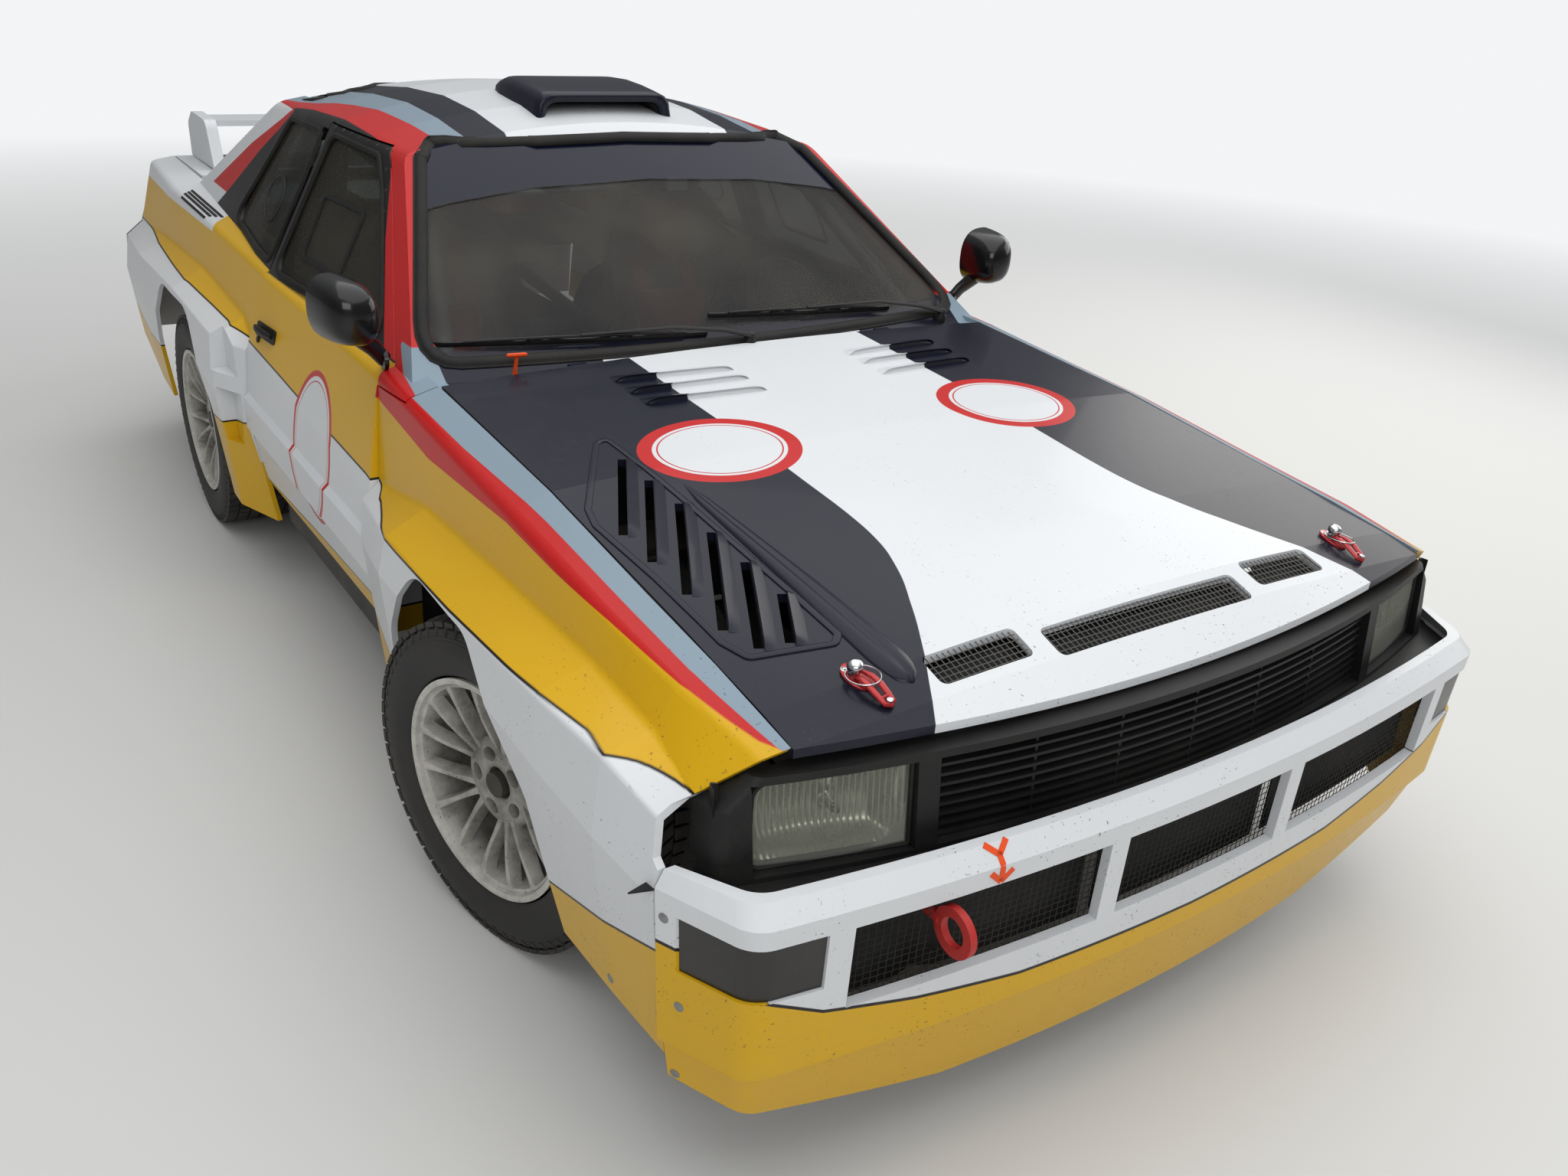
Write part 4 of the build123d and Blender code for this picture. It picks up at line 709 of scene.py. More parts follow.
def dirtyWhiteWithShade():
    # white enamel with brake dust in the corners, stains and chips down to the metal, and painted shade deeper inside
    # the wheel
    material, shader, place = newMaterial("wheelEnamel")
    x, y, z = axes(place)
    out = (x * x + z * z).root()
    stain = grain(place, 22, 5.0, 0.65)
    speck = grain(place, 190, 2.0, 0.5)
    deep = 1 - (y * -1).above(.085, .035)
    grime = (stain.above(.50, .16) * (.30 + deep * .55)).least(.8)
    colour = grime.mix(srgb(206, 204, 196), srgb(84, 76, 62))
    chip = speck.above(.70, .01) * stain.above(.48, .05)
    colour = chip.mix(colour, srgb(48, 44, 42))
    # painted shade: inside the barrel and behind the face the enamel is darkened evenly, more the deeper it lies
    colour = ((1 - out.above(.193, .006)) * deep * .7).mix(colour, srgb(58, 54, 48))
    plug(shader, "Base Color", colour)
    plug(shader, "Roughness", .36 + grime * .4)
    plug(shader, "Normal", bump(place, speck - chip * 2.0, .0003, .6))
    return material


def tyreRubber():
    # black rubber, browner and duller on the tread, with moulded rings on the side
    material, shader, place = newMaterial("tyreRubber")
    x, _, z = axes(place)
    out = (x * x + z * z).root()
    fine = grain(place, 150, 4.0, .6)
    dirt = grain(place, 14, 5.0, .6).above(.5, .2)
    dusty = (dirt * (.18 + out.above(.300, .012) * .35)).least(.6)
    colour = dusty.mix(srgb(26, 26, 27), srgb(92, 84, 72))
    plug(shader, "Base Color", (fine * .25).mix(colour, srgb(12, 12, 12)))
    plug(shader, "Roughness", .62 + dusty * .3)
    rings = (out * 900).sine() * (1 - out.above(.296, .004)) * out.above(.282, .003)
    plug(shader, "Normal", bump(place, fine * .5 + rings, .0006, .7))
    return material


def hubMesh():
    # the wheel centre with five oval lug pockets cut through its face
    look = wheelLook
    face = look["hubFace"]
    disc = Shape()
    disc.lathe([(face + .034, look["bore"]), (face + .004, look["bore"]), (face, look["bore"] + .004),
                (face - .003, .05),
                (face, .080), (face + .006, look["hub"]), (face + .034, look["hub"] + .004)], 80,
               closedProfile=True)
    cutters = Shape()
    for k in range(look["groups"]):
        angle = 2 * math.pi * (k + .5) / look["groups"]
        turn = Matrix.Rotation(angle, 4, "Y")
        ring = [(math.cos(a) * .0125, math.sin(a) * .0165) for a in turns(24)]
        rings = [[turn @ Vector((look["lugCircle"] + u * s, yy, w * s)) for u, w in ring] for yy, s in
                 ((face - .02, 1.28), (face + .002, 1.06), (face + .012, 1.0), (face + .05, 1.0))]
        cutters.rings(rings)
    made = []
    for shape in (disc, cutters):
        mesh = bpy.data.meshes.new("work")
        mesh.from_pydata([tuple(v) for v in shape.verts], [], shape.faces)
        work = bmesh.new()
        work.from_mesh(mesh)
        bmesh.ops.recalc_face_normals(work, faces=work.faces)
        work.to_mesh(mesh)
        work.free()
        thing = bpy.data.objects.new("work", mesh)
        bpy.context.collection.objects.link(thing)
        made.append(thing)
    cut = made[0].modifiers.new("cut", "BOOLEAN")
    cut.object, cut.operation, cut.solver = made[1], "DIFFERENCE", "EXACT"
    result = bpy.data.meshes.new_from_object(made[0].evaluated_get(bpy.context.evaluated_depsgraph_get()))
    verts = [v.co.copy() for v in result.vertices]
    faces = [tuple(p.vertices) for p in result.polygons]
    for thing in made:
        bpy.data.objects.remove(thing)
    return verts, faces


def wheelShape():
    look = wheelLook
    half, lip = look["lipHalf"], look["lipRadius"]
    wheel = Shape()
    profile = [(-half + .001, lip - .001), (-half, lip - .006), (-half + .002, lip - .012),
               (-half + .010, lip - .014),
               (-half + .012, lip - .017), (-half + .010, look["barrel"] + .001),
               (-half + .012, look["barrel"] - .004),
               (-half + .030, look["barrel"] - .006), (-half + .045, .188), (-.02, .176), (.05, .182),
               (half - .02, .196),
               (half - .004, lip - .010), (half, lip - .006), (half - .001, lip), (half - .009, lip - .003),
               (half - .015, .2005),
               (.05, .1875), (-.02, .1815), (-half + .045, .1945), (-half + .016, lip - .012),
               (-half + .010, lip - .002)]
    wheel.lathe(profile, 120, closedProfile=True)
    hubVerts, hubFaces = hubMesh()
    wheel.add(hubVerts, hubFaces)
    stations = 13
    for group in range(look["groups"]):
        for arm in range(look["spokes"]):
            middle = 360 / look["groups"] * group
            root, tip = (arm - 1) * 13.5, (arm - 1) * 24
            rings = []
            for i in range(stations):
                t = i / (stations - 1)
                radius = .072 + (look["barrel"] + .001 - .072) * t
                ease = 1 - (1 - t) ** 2.4
                angle = math.radians(middle + root + (tip - root) * ease)
                front = look["hubFace"] - .002 + (look["rimFace"] - look["hubFace"]) * t ** 1.2 - .006 * math.sin(math.pi * t)
                deep = .034 - .012 * t
                thin = .0068 - .0026 * math.sin(math.pi * min(1, t * 1.1)) + .0025 * max(0, t - .88) / .12
                thick = thin + .0040
                turn = Matrix.Rotation(angle, 4, "Y")
                section = [(-thin, front + .0012), (-thin * .55, front), (thin * .55, front),
                           (thin, front + .0012),
                           (thick, front + deep), (-thick, front + deep)]
                rings.append([turn @ Vector((radius, yy, w)) for w, yy in section])
            wheel.rings(rings)
    return wheel


def nutsShape():
    # five wheel nuts, a valve and the centre nut behind the face
    nuts = Shape()
    face = wheelLook["hubFace"]
    for k in range(5):
        turn = Matrix.Rotation(2 * math.pi * (k + .5) / 5, 4, "Y")
        for radius, y0, y1, sides in ((.0088, face + .030, face + .012, 6), (.0105, face + .034, face + .028,
                                                                             16)):
            rings = []
            for y, s in ((y0, 1.0), (y1 + .002, 1.0), (y1, .82)):
                rings.append([turn @ Vector((.058 + radius * s * math.cos(a), y, radius * s * math.sin(a)))
                              for a in turns(sides)])
            nuts.rings(rings)
    nuts.lathe([(face + .03, .0), (face + .012, .0), (face + .010, .012), (face + .012, .022),
                (face + .03, .030)], 32)
    nuts.tube([(.187, -.088, .02), (.183, -.104, .02)], .0032, 8)
    return nuts


def tyreShape():
    look = wheelLook
    tyre = Shape()
    top = look["tread"] - .009
    outer = [(-.098, .2155), (-.1075, .2165), (-.111, .222), (-.1125, .232), (-.1165, .248), (-.1172, .262),
             (-.1155, .278),
             (-.1125, .290), (-.1085, .301), (-.102, top - .004), (-.090, top - .001), (-.045, top)]
    tyre.lathe(outer + [(0, top)] + [(-y, r) for y, r in outer[::-1]] + [(.090, .224), (.0, .290),
                                                                         (-.090, .224)], 96, closedProfile=True)
    rows = [(-.0935, .030, .30), (-.0605, .028, -.25), (-.0265, .028, .25), (.0085, .028, -.25),
            (.0435, .028, .25), (.079, .034, -.30)]
    pitch = 2 * math.pi / look["blocks"]
    for index, (middle, width, slant) in enumerate(rows):
        for k in range(look["blocks"]):
            base = pitch * (k + (index % 2) * .5)
            rings = []
            for radius, shrink in ((look["tread"] - .012, 1.0), (look["tread"] - .0012, .97),
                                   (look["tread"], .90)):
                ring = []
                for u, v in ((-1, -1), (0, -1), (1, -1), (1, 1), (0, 1), (-1, 1)):
                    y = middle + v * width * .5 * shrink
                    if radius > look["tread"] - .002 and abs(y) > .09:
                        radius = min(radius, look["tread"] - .003)
                    a = base + (u * .42 * shrink + v * slant * .5) * pitch
                    ring.append(Vector((radius * math.cos(a), y, radius * math.sin(a))))
                rings.append(ring)
            tyre.rings(rings)
    for side in (-1, 1):
        for k in range(look["blocks"]):
            a = pitch * (k + .25)
            rings = []
            for y, r, w in ((.1025, .306, .007), (.108, .300, .006), (.1125, .289, .004)):
                centre = Vector((r * math.cos(a), side * y, r * math.sin(a)))
                radial = Vector((math.cos(a), 0, math.sin(a)))
                across = Vector((-math.sin(a), 0, math.cos(a)))
                out = (radial * .5 + Vector((0, side, 0))).normalized() * .0022
                rings.append([centre + across * w - out, centre + across * w * .8 + out,
                              centre - across * w * .8 + out,
                              centre - across * w - out])
            tyre.rings(rings)
    return tyre


def addWheels():
    enamel, rubber = dirtyWhiteWithShade(), tyreRubber()
    parts = {"wheel": (wheelShape(), enamel, "wheel_white"), "nuts": (nutsShape(), finishes["darkSteel"],
                                                                      "steel_dark"),
             "tyre": (tyreShape(), rubber, "tyre_rubber")}
    for corner, (centre, turn) in wheelPlaces.items():
        matrix = Matrix.Translation(centre) @ Matrix.Rotation(turn, 4, "Z")
        for part, (shape, material, slotName) in parts.items():
            piece = newPiece(f"{part}_{corner}", shape.verts, shape.faces, material, "body", 34)
            piece.matrix_world = matrix
            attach(piece, "wheel_" + corner)
            if part == "wheel":
                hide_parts("rim_" + corner)
            if part == "tyre":
                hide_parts("tyre_" + corner)


addWheels()
print("wheels done")


# hood louvres, meshes and lamps
def onTop(x, y, names=("hood",)):
    # the top of the body here, or the level of the nearest metal where a slot is cut
    for step in (0, .010, .018, .03, .05):
        for dx, dy in ((1, 0), (-1, 0), (0, 1), (0, -1)):
            point, normal = fromTop(names, x + dx * step, y + dy * step)
            if point is not None and normal.z > .7:
                return Vector((x, y, point.z)), normal
    return Vector((x, y, .8)), Vector((0, 0, 1))


gillLook = {"columns": 28, "rows": 7, "thick": .0016, "foot": .0005, "sink": .0012, "fall": 1.4,
            "mouth": .0018}


def gill(shape, mouth, inner, outer, reach, height, endSoft):
    # one pressed louvre: it stands up at the line inner-outer and runs down to the surface after reach
    look = gillLook
    along = Vector(outer) - Vector(inner)
    ahead = Vector((reach[0], reach[1], 0))
    rings, dark = [], []
    for u in fractions(look["columns"]):
        swell = max(0.0, 1 - abs(2 * u - 1) ** endSoft)
        row = []
        for v in fractions(look["rows"]):
            spot = Vector(inner) + along * u + ahead * v
            point, normal = onTop(spot.x, spot.y)
            lift = height * swell * (1 - v) ** look["fall"] + look["foot"] * (1 - v) - look["sink"] * v ** 3
            row.append((point, normal, lift))
        lower = [p + n * (h - look["thick"]) for p, n, h in row]
        rings.append([p + n * h for p, n, h in row] + lower[::-1])
        edge, back = row[:2]
        dark.append([edge[0] - edge[1] * .001, back[0] + back[1] * max(back[2] - look["mouth"], 0)])
    shape.rings(rings)
    mouth.rings([[a, b, b + Vector((0, 0, -.0006)), a + Vector((0, 0, -.0006))] for a, b in dark])


def addHoodLouvres():
    # the six blades over the slots on the right, with the rim round them and black sheets in their openings as
    # painted shade
    navy, mouths, rim = Shape(), Shape(), Shape()
    slots = [((1.097, -.538), (1.335, -.658)), ((1.19, -.534), (1.427, -.655)),
             ((1.284, -.527), (1.531, -.652)),
             ((1.39, -.527), (1.635, -.651)), ((1.493, -.526), (1.696, -.628)),
             ((1.596, -.525), (1.706, -.581))]
    for (ax, ay), (bx, by) in slots:
        way = Vector((bx - ax, by - ay, 0)).normalized()
        side = Vector((-way.y, way.x, 0))
        if side.x < 0:
            side = -side
        start = Vector((ax, ay, 0)) - way * .006 + side * .0085
        end = Vector((bx, by, 0)) + way * .006 + side * .0085
        gill(navy, mouths, start, end, (side.x * .023, side.y * .023), .0085, 14)
    navy.piece("hood_side_louvres", paints["scoopPaint"], "hood", "paint_hood")
    outline = rounded([(1.006, -.522, 0), (1.262, -.514, 0), (1.50, -.511, 0), (1.722, -.508, 0),
                       (1.738, -.524, 0), (1.708, -.652, 0),
                       (1.66, -.668, 0), (1.47, -.672, 0), (1.29, -.684, 0), (1.236, -.672, 0),
                       (1.016, -.548, 0)], .012, 3)
    outline = spread(outline, .02, True)
    rim.laid([onTop(p.x, p.y) for p in outline], [(-.007, -.001), (-.0055, .0022), (0, .0036),
                                                  (.0055, .0022), (.007, -.001)], True)
    rim.piece("hood_louvre_rim", paints["scoopPaint"], "hood", "paint_hood")
    # the long teardrop swelling beside it
    drop = Shape()
    rings = []
    for t in fractions(40):
        x = 1.205 + (1.86 - 1.205) * t
        nose = math.sqrt(max(0, 1 - (max(0, t - .88) / .12) ** 2))
        half = (.008 + .026 * t ** .8) * nose * min(1, t * 8) + .0006
        middle = -.486 + .012 * t
        ring = []
        for j in range(13):
            s = -1 + 2 * j / 12
            point, normal = onTop(x, middle + half * s)
            lift = .0085 * min(1, half / .022) * (1 - s * s) ** .8 - .003 * min(1, half / .022) * math.exp(-((s - .1) / .22) ** 2)
            ring.append(point + normal * (lift - .0008))
        rings.append(ring + [p - Vector((0, 0, .003)) for p in ring[::-1]])
    drop.rings(rings)
    drop.piece("hood_swelling", paints["scoopPaint"], "hood", "paint_hood", 70)
    # three pressed louvres at each side of the middle, behind the roundels
    cowl, cowlMouths = Shape(), Shape()
    blades = [(.786, .113, .761, .381), (.843, .110, .828, .381), (.913, .111, .890, .380)]
    for sign in (-1, 1):
        shift = 0 if sign < 0 else .075
        for x1, y1, x2, y2 in blades:
            gill(cowl, cowlMouths, (x1, sign * (y1 + shift), 0), (x2, sign * (y2 + shift), 0), (-.040, 0),
                 .0115, 12)
    cowl.piece("hood_cowl_louvres", paints["hoodPaint"], "hood", "paint_hood")
    cowlMouths.piece("hood_cowl_mouths", paints["hoodPaint"], "hood", "paint_hood")
    # the sheets in the side louvres' openings are black rubber: painted shade
    mouths.piece("hood_louvre_shade_sheets", finishes["rubber"], "hood", "black_trim")


bumperWires = {"across": (-.672, .672), "up": (.384, .542), "pitch": .012, "radius": .0007, "step": .008,
               "weave": .0006, "sink": .001}


def addBumperWires():
    # crossing wires laid over the mesh panel, broken wherever the panel is open
    look = bumperWires
    wires = Shape()
    for upright in (False, True):
        fixed, moving = (look["across"], look["up"]) if upright else (look["up"], look["across"])
        a = fixed[0] + look["pitch"] / 2
        while a < fixed[1]:
            run = []
            b = moving[0]
            while b <= moving[1] + .004:
                point, normal = fromFront(("bumper_mesh",), *((a, b) if upright else (b, a)))
                if point is None:
                    if len(run) > 1:
                        wires.tube(run, look["radius"], 5)
                    run = []
                else:
                    wave = look["weave"] * math.cos(math.pi * b / look["pitch"])
                    lift = wave * (1 if round(a / look["pitch"]) % 2 else -1)
                    run.append(point + normal * (lift - look["sink"]))
                b += look["step"]
            if len(run) > 1:
                wires.tube(run, look["radius"], 5)
            a += look["pitch"]
    wires.piece("bumper_wires", finishes["wireBlack"], "body", "black_trim", 50, ("bumper_mesh",))


ventLook = {"pitch": .0105, "radius": .0009, "step": .002, "rows": (1.80, 1.92), "ends": (1.79, 1.93),
            "least": .02}


def addVentWires():
    # straight crossing wires in the three hood vents, from edge to edge of each
    look = ventLook
    wires = Shape()
    for low, high in ((-.445, -.245), (-.235, .235), (.245, .445)):
        for along in (True, False):
            fixed, stop = (low, high) if along else look["rows"]
            start, end = look["ends"] if along else (low, high)
            while fixed < stop:
                hits = []
                for k in range(int((end - start) / look["step"])):
                    moving = start + k * look["step"]
                    x, y = (moving, fixed) if along else (fixed, moving)
                    point, _ = fromTop(("hood_mesh",), x, y)
                    if point is not None:
                        hits.append(point)
                if len(hits) > 2 and (hits[-1] - hits[0]).length > look["least"]:
                    wires.tube([hits[0], hits[len(hits) // 2], hits[-1]], look["radius"], 6)
                fixed += look["pitch"]
    wires.piece("vent_wires", finishes["castMetal"], "hood", "black_trim", 50, ("hood_mesh",))


def noseLine(y, z, shift=0.0):
    # how far ahead the nose stands at a width and height
    return 2.0 + .07 * (.634 - z) + shift - .112 * (y / .740) ** 2


def lampOutline(side, steps=8):
    # the headlamp's outline as (y, z) pairs, with the big radius at its outer upper corner
    inner, outer, low, high = .5265, .7535, .5725, .7035
    out = []
    corners = [(inner, low, .004, 180), (outer, low, .016, 270), (outer - .004, high, .026, 0),
               (inner, high, .003, 90)]
    for y, z, r, start in corners:
        cy = y + r if y < .6 else y - r
        cz = z + r if z < .63 else z - r
        for k in range(steps + 1):
            a = math.radians(start + 90 * k / steps)
            out.append((side * (cy + r * math.cos(a)), cz + r * math.sin(a)))
    return out


def lampReflector():
    # tarnished silver behind the lens
    material, shader, place = newMaterial("lampReflector")
    tarnish = grain(place, 18, 4.0, .6).above(.5, .2)
    plug(shader, "Base Color", (tarnish * .35).mix(srgb(222, 222, 214), srgb(150, 148, 130)))
    plug(shader, "Metallic", .72)
    plug(shader, "Roughness", .20 + tarnish * .2)
    return material


def lampPaintedLight(x, y, z):
    # painted light: a light grey cover over the lens, thicker towards the bottom, that brightens the glass
    return z.table([(.57, .30), (.63, .20), (.71, .14)]), srgb(168, 172, 164)


def addHeadlamps():
    # a fluted lens over a dished reflector, with a rim and a bulb
    reflector = lampReflector()
    lensGlass = glass("headlampGlass", lampPaintedLight, (.95, .96, .92), .10)
    bowl, lensShape, rims, bulbs = Shape(), Shape(), Shape(), Shape()
    columns, rows, flutes = 168, 26, 25
    for side in (-1, 1):
        inner, outer, low, high = .5285, .7515, .5745, .7015
        front, back = [], []
        for i in range(columns + 1):
            u = i / columns
            frontRow, backRow = [], []
            for j in range(rows + 1):
                v = j / rows
                yy = inner + (outer - inner) * u
                zz = low + (high - low) * v
                edge = min(u, 1 - u, v, 1 - v)
                cut = .010 * max(0, (u - .86) / .14) ** 2 * max(0, (v - .78) / .22)
                wave = math.cos(2 * math.pi * u * flutes)
                saw = .30 + .035 * abs(((u * flutes) % 1) - .5)
                strong = 1.0 if v > .52 - .10 * math.sin(math.pi * u) else (.25 if v > saw else .0)
                ribs = .0013 * wave * strong * min(1, edge * 18)
                yy2, zz2 = yy - cut, zz - cut
                lensX = noseLine(yy2, zz2, -.006) + ribs + .002 * (1 - (2 * u - 1) ** 2)
                frontRow.append((lensX, side * yy2, zz2))
                dish = 1 - ((2 * u - 1) ** 2 * .75 + (2 * v - 1) ** 2) * .72
                depth = .010 + .045 * max(0, dish) ** .6 * min(1, edge * 7)
                backRow.append((noseLine(yy2, zz2, -.009) - depth + .0011 * wave * (1 if v > .45 else .3),
                                side * yy2, zz2))
            front.append(frontRow)
            back.append(backRow)
        for shape, grid, thick in ((lensShape, front, .0028), (bowl, back, .004)):
            rings = [row + [(px - thick, py, pz) for px, py, pz in row[::-1]] for row in grid]
            shape.rings([[Vector(p) for p in ring] for ring in rings])
        path = [Vector((noseLine(py, pz, -.0045), py, pz)) for py, pz in lampOutline(side)]
        rims.strip(path, [Vector((1, 0, 0))] * len(path), [(-.0035, -.006), (-.003, .0015), (0, .003),
                                                           (.003, .0015), (.0035, -.006)], True)
        centre = Vector((noseLine(.622, .63, -.052), side * .622, .632))
        turn = Matrix.Translation(centre) @ Matrix.Rotation(-math.pi / 2, 4, "Z")
        bulbs.lathe([(-.004, 0), (-.004, .013), (.004, .0125), (.012, .008), (.026, .0078), (.030, .005),
                     (.031, 0)], 28, turn)
    bowl.piece("lamp_reflectors", reflector, "body", "lamp_glass", 50, ("headlamps",))
    lensShape.piece("lamp_lenses", lensGlass, "body", "lamp_glass", 60)
    rims.piece("lamp_rims", finishes["rubber"], "body", "black_trim")
    bulbs.piece("lamp_bulbs", finishes["chrome"], "body", "steel_dark")


def screw(shape, point, normal, radius=.006, height=.0022):
    # a domed cross-head screw with a washer
    normal = Vector(normal).normalized()
    turn = turned(point, normal)
    shape.lathe([(-.001, radius * 1.35), (.0006, radius * 1.35), (.0008, radius),
                 (height * .7, radius * .82), (height, radius * .45),
                 (height * .75, radius * .2), (height * .75, 0), (-.001, 0)], 18, turn)


def addLatches():
    # quick-release hood latches: a domed knob in a wire ring on an oval plate, and a forked red lever
    knobs, wires, levers = Shape(), Shape(), Shape()
    for sign in (-1, 1):
        base, normal = onTop(1.822, sign * .541)
        tip, _ = onTop(1.884, sign * .533)
        along = (tip - base).normalized()
        across = normal.cross(along)

        def at(u, v, h):
            return base + along * u + across * v + normal * h

        plate = [(math.cos(a) * .030 - .006, math.sin(a) * .019) for a in turns(28)]
        levers.rings([[at(u * s, v * t, h) for u, v in plate]
                      for s, t, h in ((1, 1, -.0005), (1, 1, .0022), (.94, .92, .0034))])
        for v in (.008, -.008):
            screw(wires, at(-.026, v, .003), normal, .0036)
        knobs.lathe([(0, .0085), (.012, .008), (.013, .0115), (.019, .0125), (.024, .0105), (.027, .005),
                     (.0275, 0)],
                    28, turned(at(-.010, -.004, .002), normal))
        knobs.tube([at(-.010, -.014, .010), at(-.010, .010, .010)], .0022, 8)
        wires.tube([at(.004 + math.cos(a) * .026, math.sin(a) * .024, .012 + .006 * math.cos(a))
                    for a in turns(40)],
                   .0012, 8, True)
        for v in (-.0085, .0085):
            arm = [(-.004, v * .9, .009), (.012, v * 1.05, .014), (.030, v * 1.1, .0135), (.048, v, .0095),
                   (.061, v * .8, .006)]
            levers.tube([at(*p) for p in arm], [.0042, .0052, .0056, .0052, .0042], 10, False, .62, normal)
        levers.tube([at(.050, -.006, .009), at(.050, .006, .009)], .0030, 8)
        levers.tube([at(.058, -.009, .0065), at(.064, 0, .0052), at(.058, .009, .0065)], .0044, 10)
        knobs.lathe([(0, .0048), (.004, .0048), (.005, .003), (.005, 0)], 18,
                    turned(at(.060, 0, .009), normal))
    knobs.piece("latch_knobs", finishes["chrome"], "hood", "steel_dark", 45)
    wires.piece("latch_wires", finishes["chrome"], "hood", "steel_dark", 45)
    levers.piece("latch_levers", finishes["shiftRed"], "hood", "tow_red", 45)


def addArrow():
    # the small orange mark above the tow ring
    mark = Shape()
    strokes = [((-.019, .592), (0, .578)), ((.019, .592), (0, .578)), ((0, .581), (0, .541)),
               ((-.019, .558), (0, .539)), ((.019, .556), (0, .539))]
    for (u1, z1), (u2, z2) in strokes:
        row = met(fromFront(("front_bumper",), -.436 + u1 + (u2 - u1) * t, z1 + (z2 - z1) * t)
                  for t in fractions(6))
        if len(row) > 1:
            mark.laid(row, [(-.0045, -.0005), (-.0045, .0012), (.0045, .0012), (.0045, -.0005)])
    mark.piece("tow_mark", finishes["orange"], "body", "tow_red", 0)


def addBumperShadeBacks():
    # black sheets a little behind the bumper's meshes: painted shade in the openings behind them
    backs = Shape()
    for y0, y1 in ((-.672, -.222), (-.194, .194), (.222, .672)):
        rings = []
        for t in range(13):
            y = y0 + (y1 - y0) * t / 12
            point, _ = fromFront(("bumper_mesh",), max(-.66, min(.66, y)), .45)
            x = (point.x if point is not None else 2.0) - .028
            rings.append([Vector((x - back, y, z)) for back, z in ((0, .372), (0, .552), (.003, .552),
                                                                   (.003, .372))])
        backs.rings(rings)
    backs.piece("bumper_shade_backs", finishes["rubber"], "body", "black_trim", 30)


def addSurroundEnds():
    # the lamp surround's ends, and the shelf between the bumper and the grille
    ends = Shape()
    for side, word in carSides:
        rings = []
        for k in range(9):
            z = .561 + (.706 - .561) * k / 8
            wall, _ = surface(("front_fender_" + word,), (1.872, side * 1.2, z), (0, -side, 0), .45)
            edge = abs(wall.y) - .007 if wall is not None else .80
            first = Vector((noseLine(.79, z, -.010), side * .79, z))
            last = Vector((1.866, side * max(edge, .79), z))
            bend = Vector((first.x - .012, last.y, z))
            row = [first * (1 - t) ** 2 + bend * 2 * t * (1 - t) + last * t * t for t in fractions(6)]
            rings.append(row + [p - Vector((.004, 0, 0)) for p in row[::-1]])
        ends.rings(rings)
    row = []
    for k in range(61):
        a = -1 + 2 * k / 60
        y = .86 * a
        start = Vector((noseLine(y, .56, -.03), y, .5625))
        out = Vector((1 - abs(a) ** 6 * .75, math.copysign(abs(a) ** 6, a), 0)).normalized()
        hit, _ = surface(("front_bumper",), start + Vector((0, 0, .012)), out, .25)
        end = start + out * ((hit - start).length if hit is not None else .05)
        end.z = start.z
        row.append([start, end, end - Vector((0, 0, .003)), start - Vector((0, 0, .003))])
    ends.rings(row)
    ends.piece("lamp_surround_ends", finishes["blackPlastic"], "body", "black_trim", 50)


def addVentShadeFloors():
    # a black sheet under each hood vent: painted shade in the opening below it
    lids = Shape()
    for y0, y1, x0, x1 in ((-.44, -.255, 1.815, 1.885), (-.225, .225, 1.83, 1.90),
                           (.255, .44, 1.815, 1.885)):
        low = [onTop(x, y, ("hood_mesh", "hood"))[0] - Vector((0, 0, .030))
               for x, y in ((x0, y0), (x1, y0), (x1, y1), (x0, y1))]
        lids.rings([[p - Vector((0, 0, .002)) for p in low], low])
    lids.piece("vent_shade_floors", finishes["rubber"], "hood", "black_trim", 30)


def addFrontScrews():
    # screws on the bumper's ends, the fenders and the air dam
    heads = Shape()
    for x, z, panel in ((1.862, .523, "front_bumper"), (1.884, .38, "front_bumper"),
                        (1.876, .60, "front_fender"),
                        (1.84, .33, "front_fender"), (1.70, .29, "front_fender"), (1.86, .23, "air_dam")):
        for side, word in carSides:
            point, normal = fromSide((panel if panel in nodes else panel + "_" + word,), side, x, z)
            if point is not None:
                screw(heads, point, normal)
    heads.piece("body_screws", finishes["alloy"], "body", "steel_dark", 45)


addHoodLouvres()
addBumperWires()
addVentWires()
addHeadlamps()
addLatches()
addArrow()
addBumperShadeBacks()
addSurroundEnds()
addVentShadeFloors()
addFrontScrews()
print("front done")


# screen seals, wipers, mirrors and handles
def sealPath(corners, radius, names, flat, direction, gap=.03, reach=(.08, .10)):
    # an outline in the (y, z) or (x, z) plane laid on the body
    points, normals = [], []
    outline = spread(rounded(flatPoints(corners), radius), gap, True)
    for p in outline:
        origin = (direction * 3.0, p.x, p.y) if flat == "x" else (p.x, direction * 3.0, p.y)
        way = (-direction, 0, 0) if flat == "x" else (0, -direction, 0)
        point, normal = surface(names, origin, way)
        for step in range(1, 14):
            if flat != "x" or p.y < 1.2 or (point is not None and abs(point.x - reach[0]) < reach[1]):
                break
            point, normal = surface(names, (origin[0], p.x, p.y - step * .003), way)
        if point is not None:
            points.append(point)
            normals.append(normal)
    return points, normals


sealLook = {"width": .0155, "height": .0085}


def sealProfile(width, height):
    return [(-width, -.003), (-width * .97, height * .35), (-width * .55, height * .9), (0, height),
            (width * .5, height * .8),
            (width * .62, height * .35), (width * .95, height * .3), (width, -.003)]


def smoothNormals(normals):
    # evens out normals where an outline crosses from one panel to the next
    count = len(normals)
    return [sum((normals[(i + k) % count] for k in (-2, -1, 0, 1, 2)), Vector()).normalized()
            for i in range(count)]


